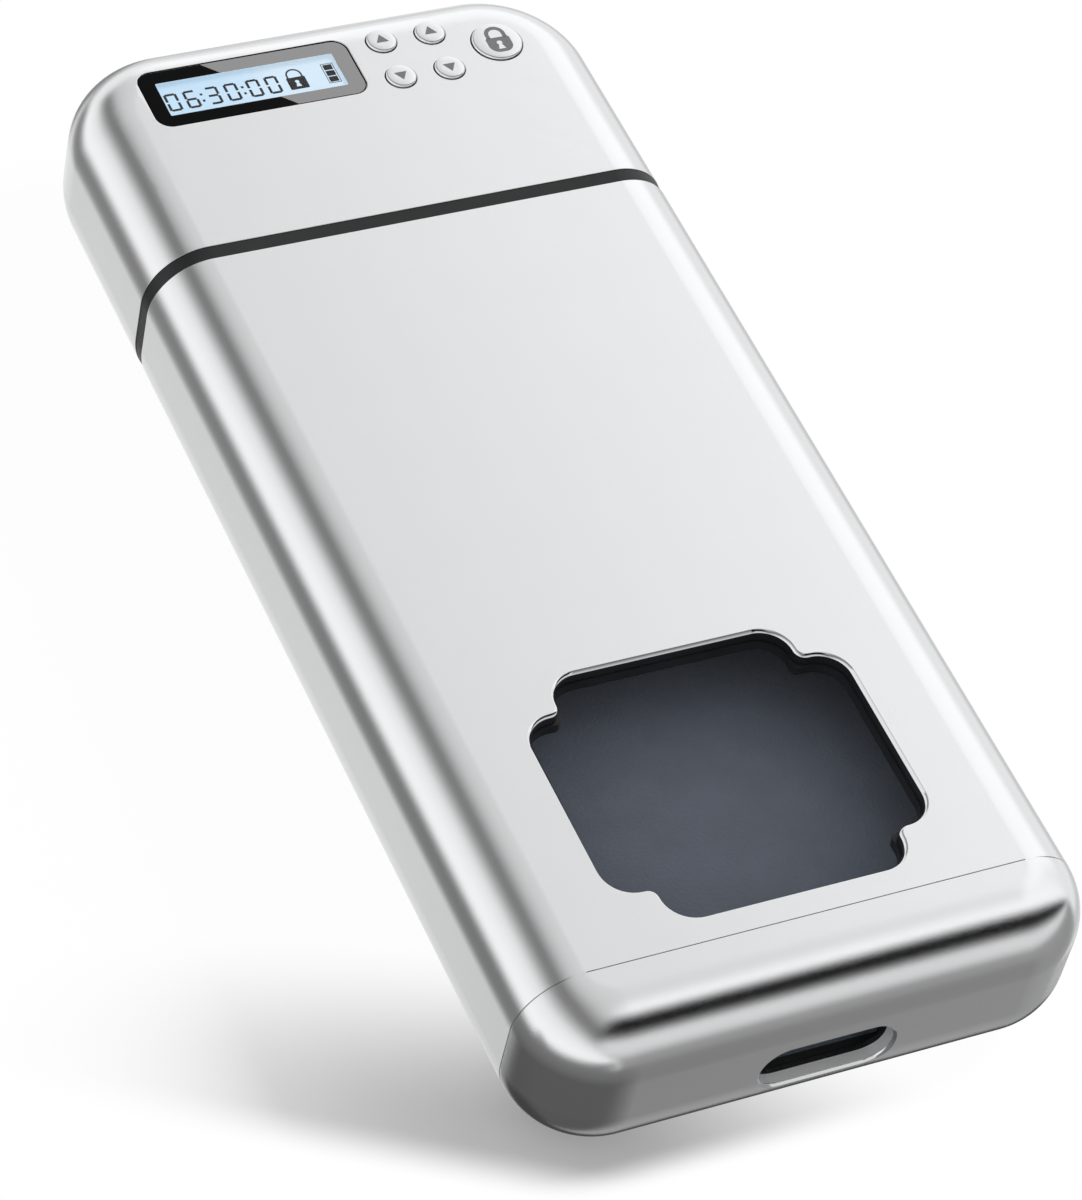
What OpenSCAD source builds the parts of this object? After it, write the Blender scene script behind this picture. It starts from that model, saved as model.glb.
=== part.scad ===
// Timed lock container: a flat hand-sized box with a window, a pull-off lock head and a charging slot.
// It lies on its back: X is the width, +Y points to the lock head, +Z out of the front.
// The origin is at the middle of the back, in the plane that it lies on. All sizes are millimetres.

/* [Body] */
// Width across the two long sides
body_w = 90; // [88:0.5:94]
// Length from the foot end to the head end
body_l = 207; // [203:0.5:220]
// Thickness from back to front
body_t = 30; // [29.5:0.25:32]
// Radius of the edge round the front face
front_r = 10; // [9:0.25:10.5]
// Radius of the edge round the back face
back_r = 12; // [11:0.25:12.5]
// Corner radius of the head end, seen from the front
head_plan_r = 18; // [16:0.5:19]
// Corner radius of the foot end, seen from the front
foot_plan_r = 14; // [13.5:0.25:16]
// Thickness of the metal walls
wall = 2; // [1.8:0.1:2.2]
// Thickness of the foot's end wall
foot_wall = 3; // [2.6:0.1:3.4]
// Length of the foot cap along the body
foot_cap_l = 13.5; // [12:0.5:15]
// Length of the lock head
head_l = 48; // [47.5:0.25:52]
// Width of the black band between head and sleeve
band_l = 2.5; // [1.5:0.25:4]
// How far the band lies below the metal
band_inset = 0.1; // [0.05:0.05:0.4]
// Joint line left between two metal pieces
seam = 0.1; // [0.05:0.05:0.3]

/* [Window] */
// Width of the window's wide part
window_w = 51.8; // [44:0.2:54]
// Width of the window's long part
window_neck_w = 38.4; // [30:0.2:40]
// Length of the window
window_l = 45.8; // [40:0.2:60]
// Length of the window's wide part
window_wide_l = 32.7; // [26:0.1:34]
// Distance from the window's centre to the foot end
window_from_foot = 40.9; // [38:0.1:60]
// Corner radius of the window
window_r = 4.6; // [3:0.2:5]
// Radius where the two widths meet
window_step_r = 1; // [0.6:0.1:1.4]
// Width of the bright cut round the window's rim
window_chamfer = 0.45; // [0.2:0.05:0.7]

/* [Liner] */
// Thickness of the liner
liner_wall = 1.6; // [1.4:0.1:1.8]
// Gap between the liner and the metal round it
liner_gap = 0.2; // [0.15:0.05:0.3]
// How far the liner's window is narrower than the metal's, on each side
liner_lip = 0.25; // [0:0.05:1]
// Length of the neck that stands into the head
neck_l = 8; // [7:0.25:8.5]
// Thickness of the foam at the back of the bay
pad_t = 10; // [6:0.5:12]
// Thickness of the foam at the foot of the bay
bumper_t = 2; // [1.6:0.1:4]
// Gap round each foam piece
pad_gap = 0.3; // [0.2:0.1:0.6]
// Thickness of the two catch tongues
tongue_t = 2.8; // [2.4:0.1:3]
// Height of the two catch tongues
tongue_h = 12; // [10:0.5:13]
// Length of the catch tongues past the neck
tongue_l = 13.5; // [12.5:0.25:14.5]

/* [Charging slot] */
// Width of the slot in the foot
slot_w = 21.2; // [16:0.2:26]
// Height of the slot in the foot
slot_h = 8.4; // [6:0.2:9]
// Height of the slot's centre above the back
slot_z = 13.65; // [12.5:0.05:16]
// Bright cut round the slot's rim
slot_chamfer = 0.5; // [0.2:0.1:0.8]

/* [Display] */
// Width of the display lens
lens_w = 36.2; // [34:0.1:38]
// Length of the display lens
lens_l = 12.6; // [12:0.1:13.5]
// Thickness of the display lens
lens_t = 1; // [0.8:0.1:1.2]
// Corner radius of the display lens
lens_r = 2; // [1:0.1:3]
// Middle of the display lens, left of the centre line
lens_x = -14.6; // [-16:0.1:-13.5]
// Middle of the display lens, measured from the head end
lens_from_end = 15.1; // [14.5:0.1:17]
// Ledge that the lens is stuck to
lens_ledge = 1.5; // [1:0.1:1.8]
// Gap round the lens
lens_gap = 0.1; // [0.05:0.01:0.2]
// Thickness of the liquid crystal panel
lcd_t = 2; // [1.6:0.1:2.2]

/* [Buttons] */
// Diameter of the four setting buttons
set_button_d = 5; // [4:0.1:5.4]
// Diameter of the lock button
lock_button_d = 8.4; // [7:0.1:9]
// Gap round each button
button_gap = 0.15; // [0.1:0.01:0.25]
// How far the buttons stand out of the front
button_proud = 0.5; // [0.2:0.05:1]
// Travel of the buttons
button_travel = 0.35; // [0.2:0.05:0.4]
// Place of the first column of setting buttons
hours_x = 9.5; // [9:0.1:10]
// Place of the second column of setting buttons
minutes_x = 18.1; // [17.8:0.1:18.4]
// Distance of the upper setting buttons from the head end
up_from_end = 11; // [10.5:0.1:11.5]
// Distance of the lower setting buttons from the head end
down_from_end = 19.5; // [19:0.1:20.5]
// Place of the lock button
lock_x = 28.2; // [27.5:0.1:28.6]
// Distance of the lock button from the head end
lock_from_end = 15.6; // [15:0.1:16.5]

/* [Lock drive] */
// Module of the rack and pinion teeth
tooth_module = 0.5; // [0.45:0.01:0.55]
// Number of teeth of the pinion
pinion_teeth = 12; // [12:2:14]
// Width of the pinion along its shaft
pinion_w = 4.4; // [3.5:0.1:4.8]
// Travel of each bolt
bolt_travel = 4; // [3:0.1:4.2]
// Width of the bolts along the body
bolt_w = 6; // [5.5:0.1:6.2]
// Thickness of the bolts
bolt_t = 5; // [4:0.1:5.2]
// Thickness of the racks behind their teeth
rack_t = 4; // [3.5:0.1:4.2]
// Gap round the sliding bolts
bolt_gap = 0.2; // [0.15:0.05:0.3]
// Diameter of the gear motor's shaft
shaft_d = 3; // [2.5:0.1:3.2]
// Running gap round the shaft
shaft_gap = 0.05; // [0.03:0.01:0.08]
// Width of the gear motor
motor_w = 12; // [11:0.1:12.4]
// Height of the gear motor
motor_h = 10; // [9:0.1:10.2]
// Length of the gear motor's gearbox
gearbox_l = 9; // [8:0.1:9.4]
// Length of the motor can
motor_l = 14.6; // [12:0.1:14.8]

/* [Boards and battery] */
// Thickness of the main board
board_t = 1.6; // [1.2:0.1:1.8]
// Distance of the main board's front from the front face
board_depth = 7.4; // [7.3:0.05:7.8]
// Thickness of the charging board
charge_board_t = 1.2; // [1:0.1:1.6]
// Thickness of the battery cell
battery_t = 8.5; // [6:0.1:9]
// Width of the battery cell
battery_w = 23.5; // [20:0.1:23.5]
// Length of the battery cell
battery_l = 19; // [16:0.1:19.2]
// Width of the charging socket
socket_w = 8.94; // [8.9:0.01:9]
// Height of the charging socket
socket_h = 3.26; // [3.2:0.01:3.3]
// Place of the charging socket, right of the centre line
socket_x = 20; // [18:0.5:21]

/* [Hidden] */
$fn = 64;
eps = 0.01;
over = 1;

silver = [0.80, 0.81, 0.82];
black = [0.09, 0.09, 0.10];
foam = [0.24, 0.27, 0.31];
steel = [0.62, 0.63, 0.65];
brass = [0.78, 0.62, 0.30];
board_green = [0.05, 0.32, 0.20];

// Places along the body
foot_y = -body_l / 2;
head_y = body_l / 2;
cap_y = foot_y + foot_cap_l;
mouth_y = head_y - head_l;
band_y = mouth_y - band_l;
neck_y = mouth_y + neck_l;

// The liner's skins, as insets from the outside of the body
liner_out = wall + liner_gap;
liner_in = liner_out + liner_wall;
liner_foot_y = foot_y + foot_wall + liner_gap;
bay_foot_y = liner_foot_y + liner_wall;
bay_front_z = body_t - liner_in;
pad_top_z = liner_in + pad_gap + pad_t;

// Plan radii of the foot's nested walls, each smaller by what lies outside it
cap_inner_plan_r = foot_plan_r - wall;
liner_plan_r = cap_inner_plan_r - liner_gap;
bay_plan_r = liner_plan_r - liner_wall;

// Screws that hold the foot cap to the liner
cap_screw_in = 5;
cap_screw_x = body_w / 2 - foot_plan_r - cap_screw_in;
cap_screw_z = (back_r + body_t - front_r) / 2;
cap_screw_r = 1.2;
cap_screw_head_r = 3.6;
cap_screw_floor = 1;
cap_screw_tip_gap = 0.4;
cap_boss_r = 2.6;

// All screws: the hole is wider than the shaft, and the shaft starts inside the head
screw_gap = 0.05;
screw_root = 0.2;
small_screw_r = 0.95;
small_head_r = 1.8;
small_head_t = 1.2;
clear_hole_gap = 0.15;

// Way of a charging lead through the foot
cable_way_side = 0.8;
cable_way_low = 0.5;
cable_way_bar = 2;
bumper_gap = 0.1;

// The bulkhead closes the head behind the neck, and the drive sits on its back
neck_stop_gap = 0.5;
bulkhead_t = 2.5;
bulkhead_y = neck_y + neck_stop_gap;
drive_y = bulkhead_y + bulkhead_t;
drive_z = 13;
frame_t = 2;
frame_y = drive_y + bolt_w + 3 * bolt_gap;
gearbox_y = frame_y + frame_t;
motor_y = gearbox_y + gearbox_l;

// Rack and pinion
pressure_angle = 25;
pitch_r = tooth_module * pinion_teeth / 2;
tooth_top = 0.9 * tooth_module;
tooth_root = 1.2 * tooth_module;
tooth_play = 0.08;
rack_pitch = PI * tooth_module;
rack_first = -5;
rack_last = 2;
shaft_end_gap = 0.2;
shaft_flat = 0.4;
pinion_gap = 0.6;
pinion_y = drive_y + pinion_gap;

// Gear motor
motor_screw_x = 4.5;
motor_screw_r = 0.8;
motor_screw_grip = 2.4;
motor_screw_head_r = 1.35;
motor_screw_head_t = 0.9;
gear_plate_t = 0.8;
front_plate_t = 3.2;
spacer_r = 1;
spacer_in = 1.4;
last_gear_r = 3.2;
last_gear_y = 5.6;
shaft_hole_l = 5;
shaft_hole_gap = 0.7;
motor_cap_t = 1;
motor_cap_in = 0.6;
relief_gap = 0.4;

// Bolts: each has a rack beside the pinion and a tip that goes through its catch tongue
tongue_gap = 0.1;
tongue_inset = liner_out + tongue_gap;
tongue_x = body_w / 2 - tongue_inset;
tongue_taper_l = 5;
tongue_root_y = mouth_y - 2 * tongue_taper_l;
tongue_in_x = tongue_x - tongue_t;
bolt_rest_gap = 1.4;
bolt_tip_x = tongue_in_x - bolt_rest_gap;
bolt_lead = 0.8;
bolt_y = drive_y + bolt_gap;
riser_x = 10;
riser_w = 4;
rack_end_x = 8;
rack_z = pitch_r + tooth_root;
catch_gap = 0.3;
tongue_end_y = neck_y + tongue_l;

// Posts between bulkhead and drive frame
frame_half_w = 27.5;
post_r = 2.6;
post_in = 3;
post_x = frame_half_w - post_in;
post_z = [6, 20];
post_edge = 2.8;
frame_low_z = post_z[0] - post_edge;
frame_high_z = post_z[1] + post_edge;
frame_screw_grip = 4;

// Rails behind the racks and blocks beside the bolts' tips
guide_t = 1.6;
guide_block_w = 3.4;
guide_block_h = 2.8;
guide_in = 1;
rail_over = 2;

// Screws that hold the bulkhead in the head: [x, z]
bulkhead_screw_spots = [[-31, body_t - 5.4], [31, body_t - 5.4], [-33, 6.2], [33, 6.2]];
bulkhead_boss_l = 8;
bulkhead_boss_r = 2.4;
bulkhead_rib_w = 2;
bulkhead_screw_l = 6;
bulkhead_hole_end = 1.5;
bulkhead_head_r = 2;
bulkhead_head_t = 1.4;
bulkhead_head_gap = 0.1;
boss_gap = 0.1;

// Display, measured down from the front face
lens_y = head_y - lens_from_end;
lens_sunk = 0.15;
lens_top_z = body_t - lens_sunk;
lens_floor_z = lens_top_z - lens_t;
lens_opening_r = lens_r - 0.8;
board_top_z = body_t - board_depth;
board_z = board_top_z - board_t;
lcd_border = 1.2;
lcd_w = lens_w - 2 * lcd_border;
lcd_l = lens_l - 2 * lcd_border;
lcd_gap = 0.15;
lcd_lens_gap = 0.1;
lcd_view_gap = 0.3;
lcd_top_z = lens_floor_z - lcd_lens_gap;
lcd_z = lcd_top_z - lcd_t;
lcd_frame_drop = 0.4;
lcd_frame_top_z = body_t - wall - lcd_frame_drop;
lcd_shift = 0.1;
lcd_y = lens_y + lcd_shift;
lcd_frame_wall = 1;
lcd_frame_r = 1;
connector_l = 2;
connector_inset = 0.2;
connector_split = 1;
connector_margin = 2;
backlight_t = 1.6;
backlight_gap = 0.2;
backlight_r = 0.6;
backlight_drop = 0.1;
backlight_apart = 1;

// Main board outline and its screws: [x, y]
board_half_w = 34;
board_foot_gap = 2.6;
board_head_gap = 3.7;
board_foot_y = gearbox_y + board_foot_gap;
board_head_y = head_y - board_head_gap;
board_r = 13;
board_foot_r = 1.5;
board_foot_spot = 2.3;
board_head_spot = 2.6;
board_head_x = 24;
board_spots = [[4 - board_half_w, board_foot_y + board_foot_spot],
               [board_half_w - 3, board_foot_y + board_foot_spot],
               [-board_head_x, board_head_y - board_head_spot],
               [board_head_x, board_head_y - board_head_spot]];
board_post_r = 2.2;
board_screw_grip = 2.8;
board_hole_gap = 0.2;

// Parts below the main board: places are [x, distance from the head end]
part_spot_chip = [-16, 15.5];
chip_w = 7;
chip_t = 1;
part_spot_memory = [-26, 18.5];
memory_w = 4;
memory_l = 5;
memory_t = 1.2;
part_spot_crystal = [-27, 10.5];
crystal_w = 8;
crystal_l = 3.4;
crystal_t = 1.8;
part_spot_capacitor = [24, 19.5];
capacitor_r = 2.5;
capacitor_t = 2;
part_spot_plugs = [[8, 7.5], [16, 7.5]];
plug_w = 5;
plug_l = 3.6;
plug_h = 1.9;
plug_wall = 0.6;
plug_back = 1.4;
plug_roof = 1;

// Buttons: flange inside the wall, foot above its switch
flange_rim = 0.75;
flange_t = 0.6;
flange_drop = 0.55;
flange_gap = 0.05;
flange_top_z = body_t - wall - flange_drop;
button_ring_wall = 0.6;
button_rim_r = 0.35;
button_foot_r = 1.3;
button_rest_gap = 0.05;
switch_w = 6;
switch_r = 0.6;
switch_body_t = 2.8;
switch_plunger_r = 1.7;
switch_h = 3.4;
switch_top_z = board_top_z + switch_h;
button_foot_z = switch_top_z + button_travel + button_rest_gap;
up_y = head_y - up_from_end;
down_y = head_y - down_from_end;
lock_y = head_y - lock_from_end;
button_spots = [[hours_x, up_y, set_button_d], [hours_x, down_y, set_button_d],
                [minutes_x, up_y, set_button_d], [minutes_x, down_y, set_button_d],
                [lock_x, lock_y, lock_button_d]];

// Shelf of the drive frame, with the battery on the left and the charging board on the right
shelf_z = 5;
shelf_t = 1.6;
shelf_top_z = shelf_z + shelf_t;
shelf_half_w = 33;
shelf_end_gap = 6.5;
shelf_end_y = head_y - shelf_end_gap;
shelf_r = 9;
shelf_foot_r = 4;
cradle_wall = 1.6;
cradle_gap = 0.1;
cradle_l = 4;
cradle_top = 1;
cradle_spots = [gearbox_y + 3, motor_y + 6];
battery_x = -33;
battery_gap = 0.2;
battery_y_gap = 2.3;
battery_y = gearbox_y + battery_y_gap;
battery_z = shelf_top_z + battery_gap;
battery_edge_r = 1.8;
battery_flap_l = 1.6;
battery_flap_in = 2;
battery_flap_low = 1;
battery_stop_in = 5;
battery_stop_out = 1;
battery_stop_t = 1.2;
battery_stop_h = 3;
charge_board_z = 12;
charge_board_x = 9.5;
charge_board_w = 21.5;
charge_board_r = 4;
charge_board_y_gap = 3.4;
charge_board_end_gap = 4;
charge_board_y = gearbox_y + charge_board_y_gap;
charge_board_end_y = head_y - charge_board_end_gap;
charge_spot_in = 3.4;
charge_spots = [[charge_board_x + 2.7, charge_board_end_y - charge_spot_in],
                [charge_board_x + charge_board_w - 3, charge_board_y + charge_spot_in]];
charge_screw_grip = 4.2;
charge_hole_end = 0.3;
socket_lift = 0.05;
socket_z = charge_board_z + charge_board_t + socket_lift;
socket_l = 7.35;
socket_gap = 0.15;
socket_shell = 0.3;
socket_inset = 0.4;
socket_back = 0.9;
socket_tongue_w = 6.7;
socket_tongue_t = 0.7;
socket_tongue_in = 0.7;
sounder_r = 4.5;
sounder_h = 4.4;
sounder_x = 15.4;
sounder_y_gap = 5.6;
sounder_hole_r = 0.9;
sounder_hole_depth = 2;

// ---------------------------------------------------------------- shared shapes

// What is cut off a square corner to round it. The corner is at the origin, with material below and left.
module corner_cut(r) {
  translate([-r, -r])
    difference() {
      square(r + over);
      circle(r);
    }
}

// The body's section across its width, drawn with Z upward
module body_section(inset) {
  half_w = body_w / 2 - inset;
  top = body_t - inset;
  difference() {
    translate([-half_w, inset]) square([2 * half_w, top - inset]);
    for (side = [0, 1])
      mirror([side, 0]) {
        translate([half_w, top]) corner_cut(front_r - inset);
        translate([half_w, inset]) mirror([0, 1]) corner_cut(back_r - inset);
      }
  }
}

// The outer edge of the body from a line this deep inside it, drawn with Z upward
module edge_section(inset, depth) {
  top = body_t - inset;
  difference() {
    translate([0, inset]) square([depth, top - inset]);
    translate([depth, top]) corner_cut(front_r - inset);
    translate([depth, inset]) mirror([0, 1]) corner_cut(back_r - inset);
  }
}

// A drawing with Z upward, carried along the body from y0 to y1
module along_body(y0, y1) {
  translate([0, y1, 0]) rotate([90, 0, 0]) linear_extrude(y1 - y0) children();
}

// The body's form, cut square at y0, or just behind its corners, and rounded off at its end y1
module body_form(inset, y0, y1, plan_r) {
  corner_x = body_w / 2 - inset - plan_r;
  corner_y = y1 - plan_r;
  along_body(min(y0, corner_y - over), corner_y) body_section(inset);
  translate([-corner_x, corner_y, 0])
    rotate([90, 0, 90]) linear_extrude(2 * corner_x) edge_section(inset, plan_r);
  for (side = [0, 1])
    mirror([side, 0, 0])
      translate([corner_x, corner_y, 0])
        rotate_extrude(angle = 90) edge_section(inset, plan_r);
}

// The same form with its rounded end at the foot
module foot_form(inset, y0, y1, plan_r) {
  mirror([0, 1, 0]) body_form(inset, -y1, -y0, plan_r);
}

// A rectangle with round corners, centred
module round_rect(w, l, r) {
  difference() {
    square([w, l], center = true);
    for (sx = [0, 1])
      for (sy = [0, 1])
        mirror([sx, 0]) mirror([0, sy]) translate([w / 2, l / 2]) corner_cut(r);
  }
}

// A block with round upright edges that widens by flare at its top
module flared_block(w, l, h, r, flare) {
  for (sx = [-1, 1])
    for (sy = [-1, 1])
      translate([sx * (w / 2 - r), sy * (l / 2 - r), 0]) cylinder(h = h, r1 = r, r2 = r + flare);
  along = [[-w / 2, 0], [w / 2, 0], [w / 2 + flare, h], [-w / 2 - flare, h]];
  across = [[-l / 2, 0], [l / 2, 0], [l / 2 + flare, h], [-l / 2 - flare, h]];
  translate([0, l / 2 - r, 0]) rotate([90, 0, 0]) linear_extrude(l - 2 * r) polygon(along);
  translate([-w / 2 + r, 0, 0]) rotate([90, 0, 90]) linear_extrude(w - 2 * r) polygon(across);
}

// A cylinder that runs along the body from y0 to y1
module rod_y(x, z, r, y0, y1) {
  translate([x, y1, z]) rotate([90, 0, 0]) cylinder(h = y1 - y0, r = r);
}

// Something that points up, turned to point along the body: side 1 to the head end, -1 to the foot
module point_y(x, y, z, side) {
  translate([x, y, z]) rotate([-90 * side, 0, 0]) children();
}

// A screw that points up from z = 0, with its head below and a six-sided recess in it
module screw(r, grip, head_r, head_t) {
  translate([0, 0, -screw_root]) cylinder(h = screw_root + grip, r = r);
  difference() {
    translate([0, 0, -head_t]) cylinder(h = head_t, r = head_r);
    translate([0, 0, -head_t - over]) cylinder(h = over + head_t / 2, r = 0.75 * r, $fn = 6);
  }
}

// A plain block between two corners
module block(low, high) {
  translate(low) cube(high - low);
}

// ---------------------------------------------------------------- window and slot

// Outline of the window, made smaller all round by inset
module window_outline(inset) {
  r = window_r - inset / 2;
  step_r = window_step_r;
  neck_x = window_neck_w / 2 - inset;
  wide_y = window_wide_l / 2 - inset;
  round_rect(2 * neck_x, window_l - 2 * inset, r);
  round_rect(window_w - 2 * inset, 2 * wide_y, r);
  for (sx = [0, 1])
    for (sy = [0, 1])
      mirror([sx, 0]) mirror([0, sy])
        translate([neck_x - eps, wide_y - eps])
          difference() {
            square(step_r + eps);
            translate([step_r + eps, step_r + eps]) circle(step_r);
          }
}

window_y = foot_y + window_from_foot;

// The window through the metal: straight walls and a bright slanted rim
module window_cut() {
  translate([0, window_y, body_t - wall - over])
    linear_extrude(wall + 2 * over) window_outline(0);
  rim = window_chamfer + eps;
  translate([0, window_y, body_t - window_chamfer]) {
    flared_block(window_neck_w, window_l, rim, window_r, rim);
    flared_block(window_w, window_wide_l, rim, window_r, rim);
  }
}

// The charging slot: an upright stadium through the foot's end wall
module slot_cut(depth, grow) {
  h = slot_h + 2 * grow;
  translate([0, foot_y - over, slot_z])
    rotate([-90, 0, 0])
      linear_extrude(depth + over)
        round_rect(slot_w + 2 * grow, h, h / 2 - 0.1);
}

// ---------------------------------------------------------------- container

module sleeve() {
  color(silver)
    difference() {
      along_body(cap_y + seam, band_y) body_section(0);
      along_body(cap_y - over, band_y + over) body_section(wall);
      window_cut();
    }
}

module end_cap() {
  color(silver)
    difference() {
      union() {
        difference() {
          intersection() {
            foot_form(0, foot_y, cap_y, foot_plan_r);
            block([-body_w, foot_y - over, -over], [body_w, cap_y, body_t + over]);
          }
          foot_form(wall, foot_y + foot_wall, cap_y + over, cap_inner_plan_r);
        }
        for (x = [-cap_screw_x, cap_screw_x])
          rod_y(x, cap_screw_z, cap_boss_r, foot_y + foot_wall - eps, bay_foot_y - screw_gap);
      }
      slot_cut(foot_wall + over, 0);
      slot_rim();
      for (x = [-cap_screw_x, cap_screw_x])
        rod_y(x, cap_screw_z, cap_screw_r + screw_gap, foot_y + cap_screw_floor, bay_foot_y + over);
    }
}

// The bright slanted rim of the charging slot
module slot_rim() {
  rim = slot_chamfer + eps;
  translate([0, foot_y + slot_chamfer, slot_z])
    rotate([90, 0, 0])
      flared_block(slot_w, slot_h, rim, slot_h / 2 - 0.1, rim);
}

module inner_liner() {
  color(black)
    difference() {
      union() {
        difference() {
          union() {
            foot_form(liner_out, liner_foot_y, neck_y, liner_plan_r);
            along_body(band_y, mouth_y) body_section(band_inset);
          }
          foot_form(liner_in, bay_foot_y, neck_y + over, bay_plan_r);
        }
        for (side = [0, 1]) mirror([side, 0, 0]) catch_tongue();
      }
      translate([0, window_y, body_t - liner_in - over])
        linear_extrude(liner_wall + 2 * over) window_outline(liner_lip);
      cable_way(liner_foot_y - over, bay_foot_y + over);
      for (x = [-cap_screw_x, cap_screw_x])
        rod_y(x, cap_screw_z, cap_boss_r + liner_gap, liner_foot_y - over, bay_foot_y + over);
      for (side = [0, 1]) mirror([side, 0, 0]) catch_window();
    }
}

// The way of a charging lead from the slot up into the bay
module cable_way(y0, y1) {
  half_w = slot_w / 2 + cable_way_side;
  block([-half_w, y0, slot_z - slot_h / 2 - cable_way_low], [half_w, y1, bay_front_z - cable_way_bar]);
}

// A tongue that stands out of the neck and takes a bolt, with a tapered root and a lead-in at its tip
module catch_tongue() {
  full_y = tongue_root_y + tongue_taper_l;
  lead = 1.5;
  tip_cut = 0.9;
  outline = [[body_w / 2, tongue_root_y], [tongue_x - tip_cut, tongue_root_y], [tongue_in_x, full_y],
             [tongue_in_x, tongue_end_y - lead], [tongue_in_x + tip_cut, tongue_end_y],
             [tongue_x - tip_cut, tongue_end_y], [tongue_x, tongue_end_y - lead],
             [body_w / 2, tongue_end_y - lead]];
  intersection() {
    translate([0, 0, drive_z - tongue_h / 2]) linear_extrude(tongue_h) polygon(outline);
    along_body(tongue_root_y - over, tongue_end_y + over) body_section(tongue_inset);
  }
}

// The hole that the bolt goes through
module catch_window() {
  half_h = bolt_t / 2 + catch_gap;
  block([tongue_in_x - over, bolt_y - catch_gap, drive_z - half_h],
        [tongue_x + over, bolt_y + bolt_w + catch_gap, drive_z + half_h]);
}

module back_pad() {
  color(foam)
    intersection() {
      foot_form(liner_in + pad_gap, bay_foot_y + bumper_t + 2 * pad_gap, tongue_root_y - pad_gap,
                bay_plan_r - pad_gap);
      block([-body_w, foot_y, 0], [body_w, head_y, pad_top_z]);
    }
}

module end_bumper() {
  low_y = bay_foot_y + bumper_gap;
  color(foam)
    difference() {
      intersection() {
        foot_form(liner_in + pad_gap, low_y, mouth_y, bay_plan_r - pad_gap);
        block([-body_w, foot_y, 0], [body_w, low_y + bumper_t, body_t]);
      }
      cable_way(foot_y, low_y + bumper_t + over);
      for (x = [-cap_screw_x, cap_screw_x])
        rod_y(x, cap_screw_z, cap_screw_head_r + pad_gap, foot_y, low_y + bumper_t + over);
    }
}

module end_cap_screws() {
  grip = bay_foot_y - foot_y - cap_screw_floor - cap_screw_tip_gap;
  color(steel)
    for (x = [-cap_screw_x, cap_screw_x])
      point_y(x, bay_foot_y, cap_screw_z, -1) screw(cap_screw_r, grip, cap_screw_head_r, small_head_t);
}

// ---------------------------------------------------------------- head

module head_shell() {
  color(silver)
    difference() {
      union() {
        difference() {
          body_form(0, mouth_y + seam, head_y, head_plan_r);
          body_form(wall, mouth_y - over, head_y - wall, head_plan_r - wall);
        }
        intersection() {
          body_form(wall / 2, mouth_y + seam, head_y - wall / 2, head_plan_r - wall / 2);
          head_bosses();
        }
      }
      lens_pocket();
      for (b = button_spots)
        translate([b[0], b[1], body_t - wall - 2])
          cylinder(h = wall + 2 + over, r = b[2] / 2 + button_gap);
      for (p = board_spots)
        translate([p[0], p[1], board_top_z - over])
          cylinder(h = over + board_screw_grip + board_hole_gap, r = small_screw_r + screw_gap);
      for (p = bulkhead_screw_spots)
        rod_y(p[0], p[1], small_screw_r + screw_gap, drive_y,
              drive_y + bulkhead_boss_l - bulkhead_hole_end);
      translate([socket_x, head_y - wall - over, socket_z + socket_h / 2])
        rotate([-90, 0, 0])
          linear_extrude(wall + 2 * over)
            round_rect(socket_w + 2 * socket_gap, socket_h + 2 * socket_gap, socket_h / 2);
    }
}

// Posts for the main board, rings round the button holes and ribs for the bulkhead's screws
module head_bosses() {
  for (p = board_spots)
    translate([p[0], p[1], board_top_z]) cylinder(h = board_depth, r = board_post_r);
  for (b = button_spots)
    translate([b[0], b[1], flange_top_z + flange_gap])
      cylinder(h = body_t - flange_top_z - flange_gap, r = b[2] / 2 + flange_rim + button_ring_wall);
  rib = bulkhead_rib_w / 2;
  for (p = bulkhead_screw_spots) {
    rod_y(p[0], p[1], bulkhead_boss_r, drive_y + boss_gap, drive_y + bulkhead_boss_l);
    edge_z = p[1] > body_t / 2 ? body_t : 0;
    block([p[0] - rib, drive_y + boss_gap, min(p[1], edge_z)],
          [p[0] + rib, drive_y + bulkhead_boss_l, max(p[1], edge_z)]);
  }
}

// Recess for the lens, and the opening below it for the display
module lens_pocket() {
  translate([lens_x, lens_y, lens_floor_z])
    linear_extrude(lens_t + over) round_rect(lens_w + 2 * lens_gap, lens_l + 2 * lens_gap, lens_r);
  translate([lens_x, lens_y, body_t - wall - 2])
    linear_extrude(wall + 2)
      round_rect(lens_w - 2 * lens_ledge, lens_l - 2 * lens_ledge, lens_opening_r);
}

module display_lens() {
  color([0.03, 0.03, 0.04])
    translate([lens_x, lens_y, lens_floor_z])
      linear_extrude(lens_t) round_rect(lens_w, lens_l, lens_r - lens_gap);
}

// Black frame that holds the display to the main board
module lcd_frame() {
  in_w = lcd_w + 2 * lcd_gap;
  in_l = lcd_l + 2 * lcd_gap;
  color(black)
    translate([lens_x, lcd_y, 0])
      difference() {
        translate([0, 0, board_top_z])
          linear_extrude(lcd_frame_top_z - board_top_z)
            round_rect(in_w + 2 * lcd_frame_wall, in_l + 2 * lcd_frame_wall, lcd_frame_r);
        translate([0, 0, board_top_z - over])
          linear_extrude(body_t) square([in_w, in_l], center = true);
      }
}

// Two glasses: the lower one lies in the frame, and the upper one stands in the opening below the lens
module lcd_panel() {
  glass = lcd_t / 2;
  margin = lens_ledge + lcd_view_gap;
  color([0.66, 0.78, 0.88]) {
    translate([lens_x, lcd_y, lcd_z])
      linear_extrude(glass) square([lcd_w, lcd_l], center = true);
    translate([lens_x, lens_y, lcd_z + glass])
      linear_extrude(glass)
        round_rect(lens_w - 2 * margin, lens_l - 2 * margin, lens_opening_r - lcd_view_gap);
  }
}

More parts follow.
